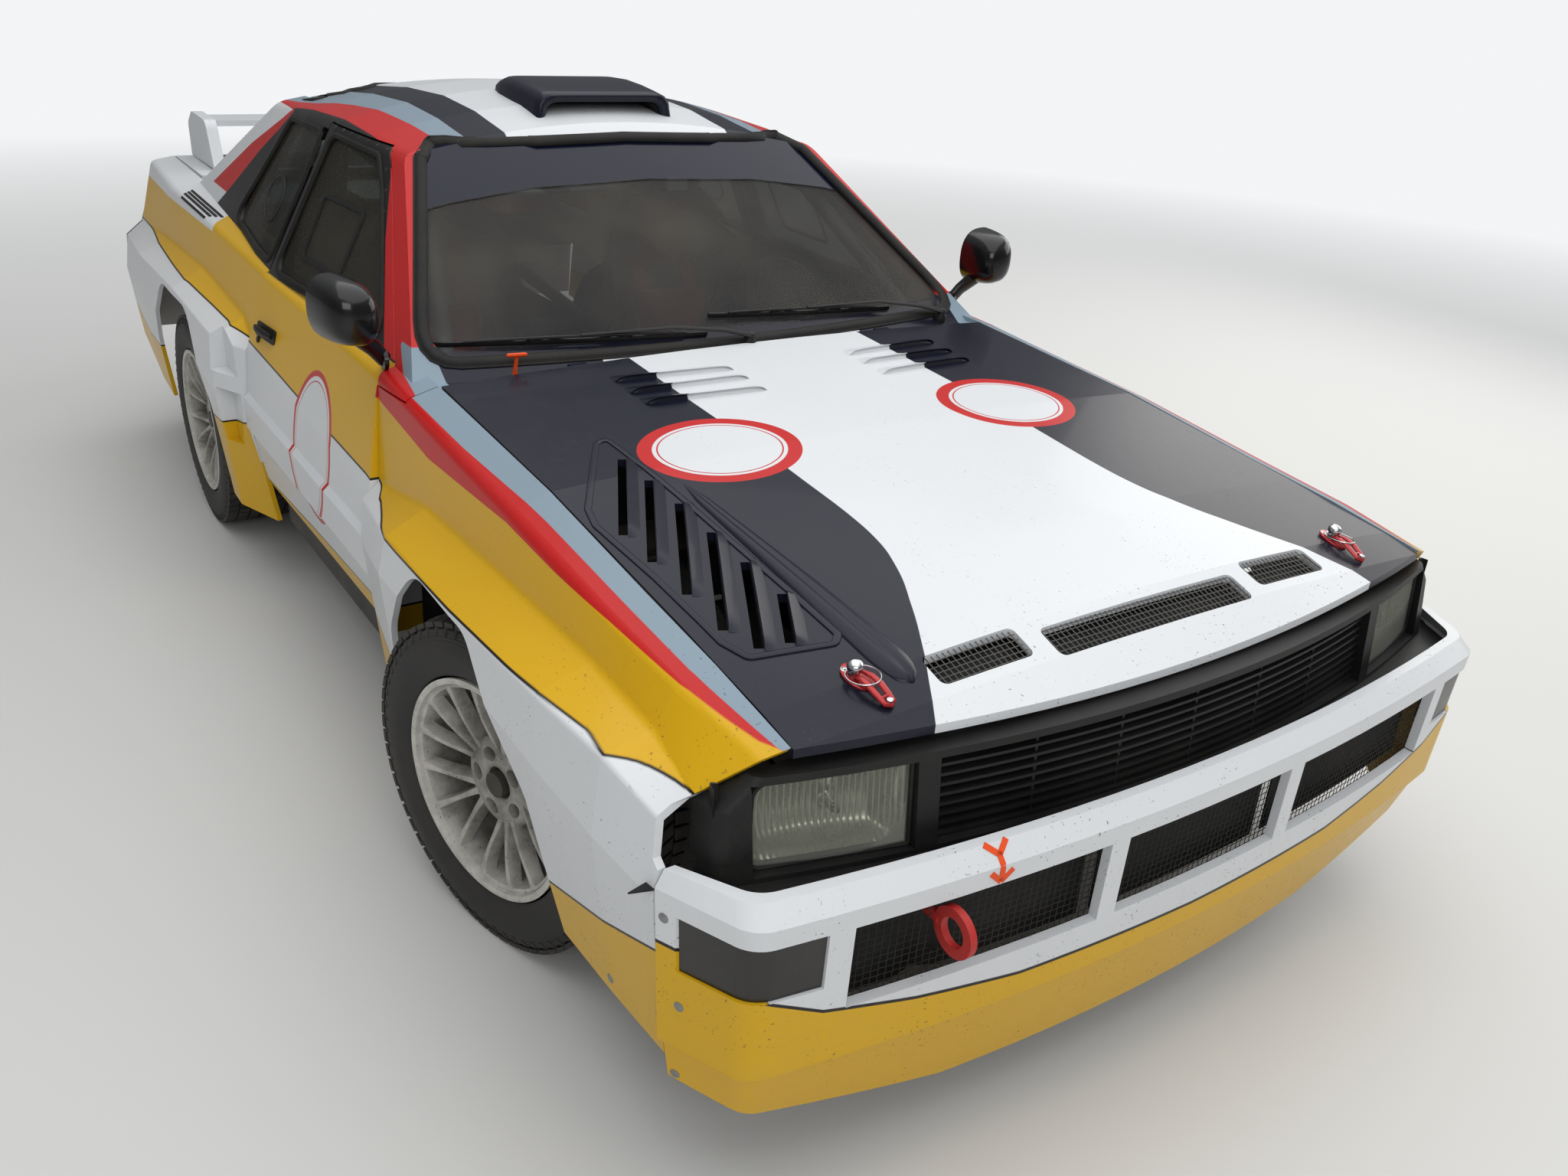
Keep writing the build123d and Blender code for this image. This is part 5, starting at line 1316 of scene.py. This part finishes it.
def addSeals():
    seal = Shape()
    corners = [(-.707, .9015), (.707, .9015), (.520, 1.232), (.47, 1.256), (0, 1.268), (-.47, 1.256),
               (-.520, 1.232)]
    points, normals = sealPath(corners, [.046, .046, .012, .012, .012, .012, .012],
                               ("windscreen_frame", "roof", "windscreen"), "x", 1)
    seal.strip(points, smoothNormals(normals), sealProfile(**sealLook), True)
    points, normals = sealPath([(-.611, .978), (.611, .978), (.479, 1.288), (-.479, 1.288)], .046,
                               ("rear_deck", "roof", "rear_pillar_left", "rear_pillar_right", "rear_window"),
                               "x", -1, .03, (-.93, .12))
    seal.strip(points, smoothNormals(normals), sealProfile(.013, .007), True)
    seal.piece("screen_seals", finishes["rubber"], "body", "black_trim", 60)
    for side, word in carSides:
        doorSeal = Shape()
        points, normals = sealPath([(.379, .893), (-.052, 1.2215), (-.357, 1.2315), (-.402, .899)], .042,
                                   ("door_" + word,), "y", side, .02)
        doorSeal.strip(points, smoothNormals(normals), sealProfile(.008, .0045), True)
        doorSeal.piece("door_window_seal_" + word, finishes["rubber"], "door_" + word, "black_trim", 60)
        quarterSeal = Shape()
        points, normals = sealPath([(-.472, .902), (-.427, 1.2275), (-.772, 1.2195), (-.995, .924)], .042,
                                   ("rear_quarter_" + word, "rear_pillar_" + word), "y", side, .02)
        quarterSeal.strip(points, smoothNormals(normals), sealProfile(.009, .005), True)
        quarterSeal.piece("quarter_window_seal_" + word, finishes["rubber"], "body", "black_trim", 60)


paneLook = {"screwGap": .055, "screw": .0032, "screwHigh": .0014}


def addPaneDetails():
    # a sliding pane and a row of small screws in each door window, and an oval vent in each quarter window
    edges = Shape()
    for side, word in carSides:
        doorEdges, screws = Shape(), Shape()
        outline = rounded(flatPoints([(-.02, .955), (-.02, 1.10), (-.27, 1.10), (-.27, .955)]), .018, 4)
        path = met(fromSide(("door_glass_" + word,), side, p.x, p.y) for p in spread(outline, .03, True))
        doorEdges.laid(path, [(-.006, -.0005), (-.005, .003), (.005, .003), (.006, -.0005)], True)
        doorEdges.piece("sliding_pane_" + word, finishes["blackPlastic"], "door_" + word, "black_trim", 50)
        oval = [(-.66 + .085 * math.cos(a), 1.03 + .055 * math.sin(a)) for a in turns(36)]
        path = met(fromSide(("quarter_windows",), side, x, z) for x, z in oval)
        edges.laid(path, [(-.004, -.0005), (-.003, .002), (.003, .002), (.004, -.0005)], True)
        run = spread(flatPoints([(.33, .886), (-.03, 1.237), (-.35, 1.247), (-.415, .94)]),
                     paneLook["screwGap"])
        for point, normal in met(fromSide(("door_" + word,), side, p.x, p.y) for p in run):
            screw(screws, point, normal, paneLook["screw"], paneLook["screwHigh"])
        screws.piece("frame_screws_" + word, finishes["darkSteel"], "door_" + word, "steel_dark", 45)
    edges.piece("quarter_vents", finishes["blackPlastic"], "body", "black_trim", 50)


def addWipers():
    # two arms with their blades, laid on the screen
    def onScreen(y, z, lift):
        for step in (0, .006, -.006, .012, -.012, .02, .03):
            point, normal = surface(("windscreen", "windscreen_frame"), (2.0, y, z + step), (-1, 0, 0))
            if point is not None:
                break
        return point - Vector((0, 0, step)) + normal * lift

    wipers = Shape()
    for pivot, elbow, tip, end in (((.632, .020, .897), (-.149, .920), (-.661, .927), (-.070, .915)),
                                   ((.588, .615, .889), (.430, .923), (-.042, .943), (.470, .918))):
        base = Vector(pivot)
        normal = Vector((.35, 0, .94)).normalized()
        turn = turned(base - normal * .01, normal)
        wipers.lathe([(0, .0), (0, .017), (.020, .0155), (.024, .011), (.034, .010), (.038, .006),
                      (.038, 0)], 24, turn)
        start = base + normal * .022
        middle = onScreen(*elbow, .024)
        half = onScreen((tip[0] + end[0]) / 2, (tip[1] + end[1]) / 2, .022)
        arm = [start, start.lerp(middle, .35) + normal * .006, middle, middle.lerp(half, .6), half]
        wipers.tube(arm, [.011, .009, .0058, .0042, .004], 8, False, .45, normal)
        blade, holder = [], []
        for t in fractions(32):
            y, z = end[0] + (tip[0] - end[0]) * t, end[1] + (tip[1] - end[1]) * t
            blade.append(onScreen(y, z, .0045))
            holder.append(onScreen(y, z, .0085 + .010 * (1 - (2 * t - 1) ** 2)))
        wipers.tube(blade, .0042, 6, False, 1.5, normal)
        wipers.tube(holder[3:30], .0034, 6, False, .8, normal)
        for k in (4, 10, 22, 28):
            wipers.tube([holder[k], blade[k]], .0036, 6)
        for a, b in ((2, 9), (9, 15), (17, 23), (23, 30)):
            wipers.tube([blade[a] + normal * .002, blade[(a + b) // 2] + normal * .010,
                         blade[b] + normal * .002], .0026, 6)
    wipers.piece("wipers", finishes["blackPlastic"], "body", "black_trim", 45)


def addHandleT():
    # the orange T-shaped pull at the foot of the screen
    pull = Shape()
    foot, _ = fromTop(("windscreen_frame",), .612, -.533)
    up = Vector((.25, .03, .97)).normalized()
    pull.tube([foot - up * .004, foot + up * .012, foot + up * .040], [.0062, .0042, .0042], 12)
    cross = Vector((.15, 1, 0)).normalized()
    top = foot + up * .044
    pull.tube([top - cross * .021, top - cross * .017, top + cross * .017, top + cross * .021],
              [.0035, .0055, .0055, .0035], 12, False, .8)
    pull.piece("pull_handle", finishes["orange"], "body", "tow_red", 60)


mirrorLook = {"across": .838, "high": 1.0095, "half": .056, "tall": .067, "square": .78, "lean": -.12,
              "rise": .10,
              "rim": .09}


def addMirrors():
    # smooth teardrop mirrors with their glass and a stalk
    look = mirrorLook
    for side, word in carSides:
        pod, pane = Shape(), Shape()
        rows = [(.4525, 1.0, .0), (.456, 1.0, .0), (.470, .995, .0), (.495, .975, .0), (.520, .93, .0),
                (.540, .85, -.001),
                (.553, .74, -.003), (.562, .58, -.005), (.5665, .38, -.006), (.568, .12, -.007)]
        rings = []
        for x, scale, drop in rows:
            ring = []
            for a in turns(40):
                ca, sa = math.cos(a), math.sin(a)
                y = look["half"] * scale * math.copysign(abs(ca) ** look["square"], ca)
                z = look["tall"] * scale * math.copysign(abs(sa) ** look["square"], sa)
                ring.append(Vector((x, side * (look["across"] + y + (x - .45) * look["lean"]),
                                    look["high"] + z + drop + y * look["rise"])))
            rings.append(ring)
        middle = Vector((0, side * look["across"], look["high"]))
        inner = [[p + (middle - Vector((0, p.y, p.z))) * look["rim"] + Vector((dx, 0, 0)) for p in rings[0]]
                 for dx in (0, .008)]
        pod.rings(inner[::-1] + rings)
        pod.tube([(.466, side * .752, .897), (.472, side * .775, .925), (.492, side * .812, .962),
                  (.512, side * .832, .99)],
                 [.016, .017, .022, .030], 16, False, .62, (1, 0, 0))
        pod.lathe([(-.004, 0), (-.004, .022), (.004, .020), (.006, .012)], 24,
                  Matrix.Translation((.466, side * .7535, .897)) @ (Matrix.Rotation(math.pi, 4, "Z")
                                                                    if side < 0 else Matrix()))
        pod.piece("mirror_shell_" + word, finishes["mirrorBlack"], "door_" + word, "black_trim", 50,
                  ("mirror_" + word,))
        pane.rings([[p + Vector((.004, 0, 0)) for p in inner[0]],
                    [p + Vector((.001, 0, 0)) for p in inner[0]]])
        pane.piece("mirror_pane_" + word, finishes["chrome"], "door_" + word, "black_trim", 40)


def addDoorHandles():
    # a plate, a grip and a lock on each door
    for side, word in carSides:
        parts = Shape()

        def at(x, z, lift):
            point, normal = fromSide(("door_" + word, "rear_quarter_" + word), side, x, z)
            return point + normal * lift, normal

        plate = rounded(flatPoints([(-.392, .744), (-.232, .752), (-.232, .786), (-.392, .778)]), .010, 4)
        low = [at(p.x, p.y, -.0005)[0] for p in plate]
        high = [at(p.x, p.y, .003)[0] for p in plate]
        parts.rings([low, high])
        grip = [at(-.380 + .138 * k / 8, .763 + .006 * k / 8, .010 + .009 * math.sin(math.pi * k / 8))[0]
                for k in range(9)]
        parts.tube(grip, [.006, .0085, .010, .0105, .0105, .0105, .010, .0085, .006], 10, False, .7,
                   (0, side, 0))
        lock, normal = at(-.362, .738, 0)
        parts.lathe([(-.001, .010), (.003, .010), (.004, .008), (.003, .005), (.003, 0)], 20,
                    turned(lock, normal))
        parts.piece("door_handle_" + word, finishes["blackPlastic"], "door_" + word, "black_trim", 45)


addSeals()
addPaneDetails()
addWipers()
addHandleT()
addMirrors()
addDoorHandles()
print("glass and trim done")


# seats, belts and the rest of the cabin
seatLook = {"voxel": .009, "pressure": 4.0, "cap": .014, "side": .350}


def seatCloth(name, colour, second):
    # knitted seat cloth: a fine rib weave, soft sheen and faded patches
    material, shader, place = newMaterial(name)
    x, y, z = axes(place)
    weave = (y * 2600).sine() * .5 + ((z + x * .4) * 2600).sine() * .5
    fade = grain(place, 9, 4.0, .6)
    base = (fade * .5).mix(colour, second)
    base = grain(place, 60, 3.0).above(.56, .1).mix(base, tuple(v * .7 + .01 for v in colour))
    plug(shader, "Base Color", base)
    plug(shader, "Roughness", .88)
    plug(shader, "Sheen Weight", .35)
    plug(shader, "Normal", bump(place, weave + fade * 2.0, .0005, .7))
    return material


def padBlock(shape, corners, thick, crown, steps=(14, 14)):
    # a crowned pad over a four-sided patch: corners run round the patch, thick points out of it
    a, b, c, d = (Vector(p) for p in corners)
    out = (b - a).cross(d - a).normalized()
    rings = []
    for i in range(steps[0] + 1):
        u = i / steps[0]
        top, low = [], []
        for j in range(steps[1] + 1):
            v = j / steps[1]
            pull = 1 - .03 * (math.sin(math.pi * u) + math.sin(math.pi * v)) * (1 if min(u, 1 - u, v, 1 - v) < .02 else 0)
            p = (a * (1 - u) + b * u) * (1 - v) + (d * (1 - u) + c * u) * v
            middle = (a + b + c + d) / 4
            p = middle + (p - middle) * pull
            rise = (max(0, 1 - (2 * u - 1) ** 4) * max(0, 1 - (2 * v - 1) ** 4)) ** .35
            top.append(p + out * (thick * (.35 + .65 * rise) + crown * math.sin(math.pi * u) * math.sin(math.pi * v)))
            low.append(p)
        rings.append(top + low[::-1])
    shape.rings(rings)


def puff(piece, cap):
    # swells a pad as stuffing under cloth does, then keeps the result
    work = piece.modifiers.new("even", "REMESH")
    work.mode, work.voxel_size = "VOXEL", seatLook["voxel"]
    graph = bpy.context.evaluated_depsgraph_get()
    mesh = bpy.data.meshes.new_from_object(piece.evaluated_get(graph))
    piece.modifiers.clear()
    piece.data = mesh
    before = [v.co.copy() for v in mesh.vertices]
    cloth = piece.modifiers.new("stuffing", "CLOTH")
    cloth.settings.use_pressure = True
    cloth.settings.uniform_pressure_force = seatLook["pressure"]
    cloth.settings.effector_weights.gravity = 0
    cloth.settings.tension_stiffness = cloth.settings.compression_stiffness = 18
    cloth.point_cache.frame_start, cloth.point_cache.frame_end = 1, 20
    scene = bpy.context.scene
    for step in range(1, 21):
        scene.frame_set(step)
        bpy.context.view_layer.update()
    grown = bpy.data.meshes.new_from_object(piece.evaluated_get(bpy.context.evaluated_depsgraph_get()))
    piece.modifiers.clear()
    for vertex, start in zip(grown.vertices, before):
        move = vertex.co - start
        if move.length > cap:
            vertex.co = start + move.normalized() * cap
    piece.data = grown
    scene.frame_set(1)


def addSeats():
    red = seatCloth("seatRed", srgb(150, 22, 26), srgb(110, 16, 22))
    black = seatCloth("seatBlack", srgb(26, 26, 29), srgb(44, 43, 44))
    webbing = seatCloth("beltWebbing", srgb(168, 26, 30), srgb(120, 18, 22))
    for sign, word in ((1, "left"), (-1, "right")):
        yy = sign * seatLook["side"]
        shell = Shape()
        path = [(.222, .378), (.150, .345), (.0, .315), (-.12, .300), (-.20, .335), (-.245, .44),
                (-.300, .62), (-.360, .80), (-.415, .97), (-.437, 1.045)]
        walls = [.060, .085, .100, .115, .120, .115, .100, .105, .085, .055]
        wides = [.205, .212, .215, .215, .214, .212, .214, .218, .180, .135]
        rings = []
        for i, (px, pz) in enumerate(path):
            bx, bz = path[max(i - 1, 0)]
            ax, az = path[min(i + 1, len(path) - 1)]
            along = Vector((ax - bx, 0, az - bz)).normalized()
            out = Vector((-along.z, 0, along.x)) * -1
            inside, outside = [], []
            for k in range(25):
                t = -1 + 2 * k / 24
                rise = max(0, (abs(t) - .62) / .38) ** 1.5 * walls[i]
                p = Vector((px, yy + math.copysign(wides[i] * min(1, abs(t) * 1.18) ** .9, t),
                            pz)) + out * rise
                inside.append(p)
                outside.append(p - out * .007)
            rings.append(inside + outside[::-1])
        shell.rings(rings)
        for dy in (-.155, .155):
            shell.tube([(-.26, yy + dy, .222), (.20, yy + dy, .222)], .011, 8, False, 1.0)
            for dx in (-.22, -.02, .18):
                shell.tube([(dx, yy + dy, .204), (dx, yy + dy, .215),
                            (dx, yy + dy * 1.05, .330 if dx > -.1 else .36)], .009, 8)
        shell.piece("seat_shell_" + word, finishes["cagePaint"], "body", "seat_fabric", 50)
        middle, bolsters = Shape(), Shape()
        w = .130
        padBlock(middle, [(.205, yy + w, .375), (.205, yy - w, .375), (-.115, yy - w, .318),
                          (-.115, yy + w, .318)], -.052, -.010)
        padBlock(middle, [(-.205, yy + w, .385), (-.205, yy - w, .385), (-.345, yy - w * .95, .800),
                          (-.345, yy + w * .95, .800)], -.048, -.008, (14, 18))
        padBlock(middle, [(-.368, yy + .100, .835), (-.368, yy - .100, .835), (-.425, yy - .085, 1.020),
                          (-.425, yy + .085, 1.020)], -.045, -.008)
        for s in (-1, 1):
            a, b = yy + s * .137, yy + s * .200
            padBlock(bolsters, [(.200, max(a, b), .388), (.200, min(a, b), .388), (-.110, min(a, b), .335),
                                (-.110, max(a, b), .335)], -.072, -.006, (14, 6))
            padBlock(bolsters, [(-.195, max(a, b), .410), (-.195, min(a, b), .410), (-.330, min(a, b), .800),
                                (-.330, max(a, b), .800)], -.068, -.006, (16, 6))
        inner = middle.piece("seat_pads_" + word, red, "body", "seat_fabric", 60, ("seats",))
        outer = bolsters.piece("seat_bolsters_" + word, black, "body", "seat_fabric", 60)
        for pad, fill in ((inner, .6), (outer, .7)):
            puff(pad, seatLook["cap"])
            if pad.data.materials[:] == []:
                pad.data.materials.append(red if pad is inner else black)
            for polygon in pad.data.polygons:
                polygon.use_smooth = True
            addSubdivision(pad, 1)
        belts, buckles = Shape(), Shape()
        flat = [(-.024, -.0012), (-.024, .0012), (.024, .0012), (.024, -.0012)]
        for s in (-1, 1):
            way = [(-.470, yy + s * .075, .930), (-.425, yy + s * .076, .918), (-.395, yy + s * .078, .890),
                   (-.352, yy + s * .080, .820),
                   (-.285, yy + s * .078, .640), (-.215, yy + s * .070, .480), (-.150, yy + s * .045, .418),
                   (-.095, yy + s * .018, .405)]
            belts.strip(way, [Vector((.6, 0, .8))] + [Vector((.92, 0, .38))] * 5 + [Vector((.5, 0, .87))] * 2, flat)
            lap = [(-.235, yy + s * .225, .30), (-.19, yy + s * .222, .37), (-.14, yy + s * .17, .43),
                   (-.11, yy + s * .08, .425), (-.095, yy + s * .02, .412)]
            belts.strip(lap, [Vector((0, s, .2)), Vector((0, s * .8, .6)), Vector((.2, s * .2, .95)),
                              Vector((.3, 0, .95)), Vector((.4, 0, .9))], flat)
            buckles.tube([(-.262, yy + s * .077 - .028, .590), (-.262, yy + s * .077 + .028, .590)], .006, 8)
        turn = turned((-.088, yy, .412), Vector((.45, 0, .89)))
        buckles.lathe([(-.006, .030), (.006, .032), (.012, .028), (.014, .018), (.014, 0), (-.006, 0)], 28,
                      turn)
        belts.piece("belts_" + word, webbing, "body", "seat_fabric", 50)
        buckles.piece("buckles_" + word, finishes["darkSteel"], "body", "steel_dark", 45)


def addCabin():
    # gauges, switches and the gear lever
    parts, dials, bright = Shape(), Shape(), Shape()
    toDriver = Vector((-.96, 0, .27)).normalized()
    for dy, r in ((-.11, .052), (0, .040), (.10, .052), (-.34, .030), (-.42, .030), (-.50, .030)):
        point, _ = surface(("dashboard",), (-1.5, .35 + dy, .80 if r > .035 else .775), (1, 0, 0))
        if point is None:
            continue
        turn = turned(point, toDriver)
        parts.lathe([(-.01, r), (.014, r), (.016, r * .93), (.006, r * .9), (.004, 0), (-.01, 0)], 32, turn)
        dials.lathe([(.0045, r * .88), (.0055, r * .88), (.0055, 0), (.0045, 0)], 32, turn)
        bright.tube([turn @ Vector((0, .0075, 0)), turn @ Vector((-r * .55, .0075, r * .45))], .0012, 6)
    for k in range(10):
        point, _ = surface(("dashboard",), (-1.5, -.10 - .035 * k, .72), (1, 0, 0))
        if point is not None:
            bright.tube([point, point + Vector((-.022, 0, .006))], .003, 8)
            parts.lathe([(-.002, .008), (.003, .008), (.003, 0), (-.002, 0)], 12,
                        Matrix.Translation(point) @ Matrix.Rotation(math.pi / 2, 4, "Z"))
    parts.tube([(.02, .02, .36), (.015, .03, .46), (-.01, .045, .56), (-.03, .052, .62)],
               [.012, .010, .009, .009], 12)
    bright.lathe([(.605, 0), (.612, .012), (.630, .022), (.648, .018), (.656, 0)], 20,
                 Matrix.Translation((-.033, .054, 0)) @ Matrix.Rotation(math.pi / 2, 4, "X"))
    parts.piece("gauges_and_lever", finishes["blackPlastic"], "body", "black_trim", 45)
    dials.piece("gauge_faces", finishes["castMetal"], "body", "black_trim", 45)
    bright.piece("cabin_switches", finishes["chrome"], "body", "steel_dark", 45)


addSeats()
addCabin()
print("cabin done")


# tail, roof and side details
def addTail():
    # lens frames and dividing bars, a blank plate and screws
    bars, plates, screws = Shape(), Shape(), Shape()
    for side in (-1, 1):
        corners = rounded(flatPoints([(.372, .700), (.749, .700), (.749, .828), (.372, .828)]), .008, 3)
        path = [Vector((-2.0645, side * p.x, p.y)) for p in spread(corners, .05, True)]
        bars.strip(path, [Vector((-1, 0, 0))] * len(path), [(-.005, -.004), (-.004, .003), (.004, .003),
                                                            (.005, -.004)], True)
        for y in (.50, .625):
            bars.tube([(-2.0655, side * y, .703), (-2.0655, side * y, .825)], .0028, 8)
        bars.tube([(-2.0655, side * .375, .764), (-2.0655, side * .747, .764)], .0022, 8)
    outline = rounded(flatPoints([(-.26, .705), (.26, .705), (.26, .815), (-.26, .815)]), .010, 4)
    plates.rings([[Vector((x, p.x * s, .76 + (p.y - .76) * s)) for p in outline] for x,
                  s in ((-2.0522, 1), (-2.0555, 1), (-2.0562, .985))])
    for y in (-.23, .23):
        screw(screws, Vector((-2.0560, y, .80)), Vector((-1, 0, 0)), .005)
    for y in (-.70, -.35, 0, .35, .70):
        screw(screws, Vector((-2.0805, y, .54)), Vector((-1, 0, 0)), .006)
    bars.piece("tail_lamp_bars", finishes["blackPlastic"], "body", "black_trim", 45)
    plates.piece("blank_plate", paints["whitePaint"], "body", "paint_body", 45)
    screws.piece("tail_screws", finishes["alloy"], "body", "steel_dark", 45)


def addBootDetails():
    # two pins on the boot lid, each with its ring clip
    pins, clips = Shape(), Shape()
    for side in (-1, 1):
        top, _ = fromTop(("boot_lid",), -1.98, side * .42)
        pins.lathe([(0, .018), (.003, .018), (.006, .014), (.014, .010), (.016, .006), (.016, 0), (0, 0)],
                   24,
                   Matrix.Translation(top) @ Matrix.Rotation(math.pi / 2, 4, "X"))
        clips.tube([top + Vector((.0, -.012, .011)), top + Vector((0, .012, .011))], .0018, 8)
        clips.tube([top + Vector((math.cos(a) * .014, math.sin(a) * .014, .018)) for a in turns(20)], .0012,
                   6, True)
    pins.piece("boot_pins", finishes["chrome"], "boot_lid", "steel_dark", 45)
    clips.piece("boot_clips", finishes["chrome"], "boot_lid", "steel_dark", 45)


def addPillarLouvres():
    # black slats over the air outlet at the foot of each rear pillar
    for side, word in carSides:
        slats = Shape()
        for k in range(4):
            row = []
            for i in range(15):
                x = -1.465 + k * .012 + (.40 - k * .03) * i / 14
                yy = side * (.722 + k * .0125)
                point, normal = fromTop(("rear_quarter_" + word, "rear_pillar_" + word), x, yy)
                if point is not None and point.z > .85:
                    row.append((point, normal))
            if len(row) > 3:
                slats.laid(row, [(-.0042, -.001), (-.0036, .0032), (.0036, .0018), (.0042, -.001)])
        slats.piece("pillar_louvres_" + word, finishes["blackPlastic"], "body", "black_trim", 30)


def addRoofDetails():
    # the scoop: a low rounded shell, open in front, with a thick lip and a deep mouth lined in black as painted shade
    def arch(x, half, top, foot, inset=0.0):
        ring = []
        for k in range(33):
            t = -1 + 2 * k / 32
            y = (half - inset) * t
            z = foot + inset + (top - foot - 2 * inset) * (1 - abs(t) ** 14) ** .5
            ring.append(Vector((x, y, z)))
        return ring

    rows = [(-.346, .168, 1.352), (-.335, .176, 1.362), (-.29, .183, 1.373), (-.22, .187, 1.3745),
            (-.14, .189, 1.369), (-.07, .1895, 1.361), (-.040, .190, 1.3565)]
    outer = [arch(x, half, top, 1.292 - .03 * (x + .346) / .31) for x, half, top in rows]
    front = [arch(-.034, .189, 1.3545, 1.263, .003), arch(-.036, .184, 1.352, 1.264, .009),
             arch(-.046, .178, 1.349, 1.268, .014), arch(-.15, .172, 1.349, 1.280, .016)]
    shell = Shape()
    shell.rings(outer + front)
    shell.piece("roof_scoop_shell", paints["scoopPaint"], "body", "paint_hood", 60, ("roof_scoop",))
    # the mouth's inner walls and back wall in black rubber: painted shade
    throat = Shape()
    throat.rings([[p + Vector((.001, 0, 0)) for p in front[3]], front[3]])
    throat.rings([arch(-.050, .1765, 1.3475, 1.2685, .015), arch(-.149, .1705, 1.3475, 1.2805, .017)], False,
                 False)
    throat.piece("scoop_mouth_shade", finishes["rubber"], "body", "black_trim", 50)


def addShutLines():
    # dark strips beside the hood, where the real gaps read as black lines
    joints = Shape()
    for side in (-1, 1):
        row = []
        for i in range(46):
            x = .66 + (1.9 - .66) * i / 45
            for step in range(40):
                y = .715 - step * .001
                point, _ = fromTop(("hood",), x, side * y)
                if point is not None:
                    row.append((Vector((x, side * (y + .0018), point.z - .0035)), Vector((0, 0, 1))))
                    break
        joints.laid(row, [(-.0016, -.004), (-.0016, .001), (.0016, .001), (.0016, -.004)])
    joints.piece("hood_gap_seals", finishes["rubber"], "body", "black_trim", 45)


addTail()
addBootDetails()
addPillarLouvres()
addRoofDetails()
addShutLines()
print("tail done")


# stage, light and camera
stageLook = {"floor": srgb(212, 212, 210), "back": (0.90, 0.91, 0.92)}


def addStage():
    mesh = bpy.data.meshes.new("floor")
    size = 30
    mesh.from_pydata([(-size, -size, 0), (size, -size, 0), (size, size, 0), (-size, size, 0)], [],
                     [(0, 1, 2, 3)])
    floor = bpy.data.objects.new("floor", mesh)
    bpy.context.collection.objects.link(floor)
    material, shader, place = newMaterial("floorPaper")
    plug(shader, "Base Color", (grain(place, 0.7, 2.0) * 0.05).mix(stageLook["floor"], (0.5, 0.5, 0.5)))
    plug(shader, "Roughness", 0.85)
    # far from the car the floor fades into the white background, for the camera alone
    x, y, _ = axes(place)
    away = (x * x + y * y).root()
    seen = Wire(place.tree, place.tree.nodes.new("ShaderNodeLightPath").outputs["Is Camera Ray"])
    paper = place.make("ShaderNodeEmission", {}, {0: (*stageLook["back"], 1), 1: 1.0})
    mixed = place.make("ShaderNodeMixShader", {}, {0: away.above(6.5, 3.6) * seen,
                                                   1: Wire(place.tree, shader.outputs[0]), 2: paper})
    place.tree.links.new(mixed.socket, place.tree.nodes["Material Output"].inputs[0])
    mesh.materials.append(material)
    world = bpy.data.worlds.new("studio")
    world.use_nodes = True
    bpy.context.scene.world = world
    tree = world.node_tree
    path = tree.nodes.new("ShaderNodeLightPath")
    seen = Wire(tree, path.outputs["Is Camera Ray"]).most(Wire(tree, path.outputs["Is Transmission Ray"]))
    back = tree.nodes["Background"]
    back.inputs[0].default_value = (*stageLook["back"], 1)
    way = axes(Wire(tree, tree.nodes.new("ShaderNodeTexCoord").outputs["Generated"]))[2]
    soft = way.table([(-1, .26), (0, .17), (.3, .19), (.6, .42), (1, .80)])
    strength = soft + seen * (1.0 - soft)
    tree.links.new(strength.socket, back.inputs[1])


def addLamp(name, place, aim, size, watts, colour=(1, 1, 1)):
    light = bpy.data.lights.new(name, "AREA")
    light.shape, light.size, light.size_y = "RECTANGLE", *size
    light.energy, light.color = watts, colour
    lamp = bpy.data.objects.new(name, light)
    bpy.context.collection.objects.link(lamp)
    lamp.location = place
    lamp.rotation_euler = (Vector(aim) - Vector(place)).to_track_quat("-Z", "Y").to_euler()


def addCamera():
    eye = Vector((3.054, -1.5485, 1.669))
    turn, dip, roll = (math.radians(v) for v in (144.81, -25.52, -3.63))
    ahead = Vector((math.cos(dip) * math.cos(turn), math.cos(dip) * math.sin(turn), math.sin(dip)))
    right = ahead.cross(Vector((0, 0, 1))).normalized()
    down = ahead.cross(right)
    across = right * math.cos(roll) + down * math.sin(roll)
    fall = down * math.cos(roll) - right * math.sin(roll)
    data = bpy.data.cameras.new("photoView")
    data.lens, data.sensor_width, data.sensor_fit = 29.955, 36, "HORIZONTAL"
    camera = bpy.data.objects.new("photoView", data)
    bpy.context.collection.objects.link(camera)
    turned = Matrix((across, -fall, -ahead)).transposed().to_4x4()
    camera.matrix_world = Matrix.Translation(eye) @ turned
    bpy.context.scene.camera = camera


addStage()
addLamp("overhead", (0.4, 0.6, 4.6), (0, 0, 0.4), (9.0, 6.0), 190)
addLamp("leftWall", (0.5, 5.2, 2.6), (0, 0, 0.7), (6.0, 2.6), 100, (1, 0.985, 0.95))
addLamp("frontSoft", (6.0, -2.6, 3.4), (0.5, 0, 0.5), (4.0, 2.5), 95)
addCamera()
bpy.context.scene.view_settings.view_transform = "Standard"
print("stage done")
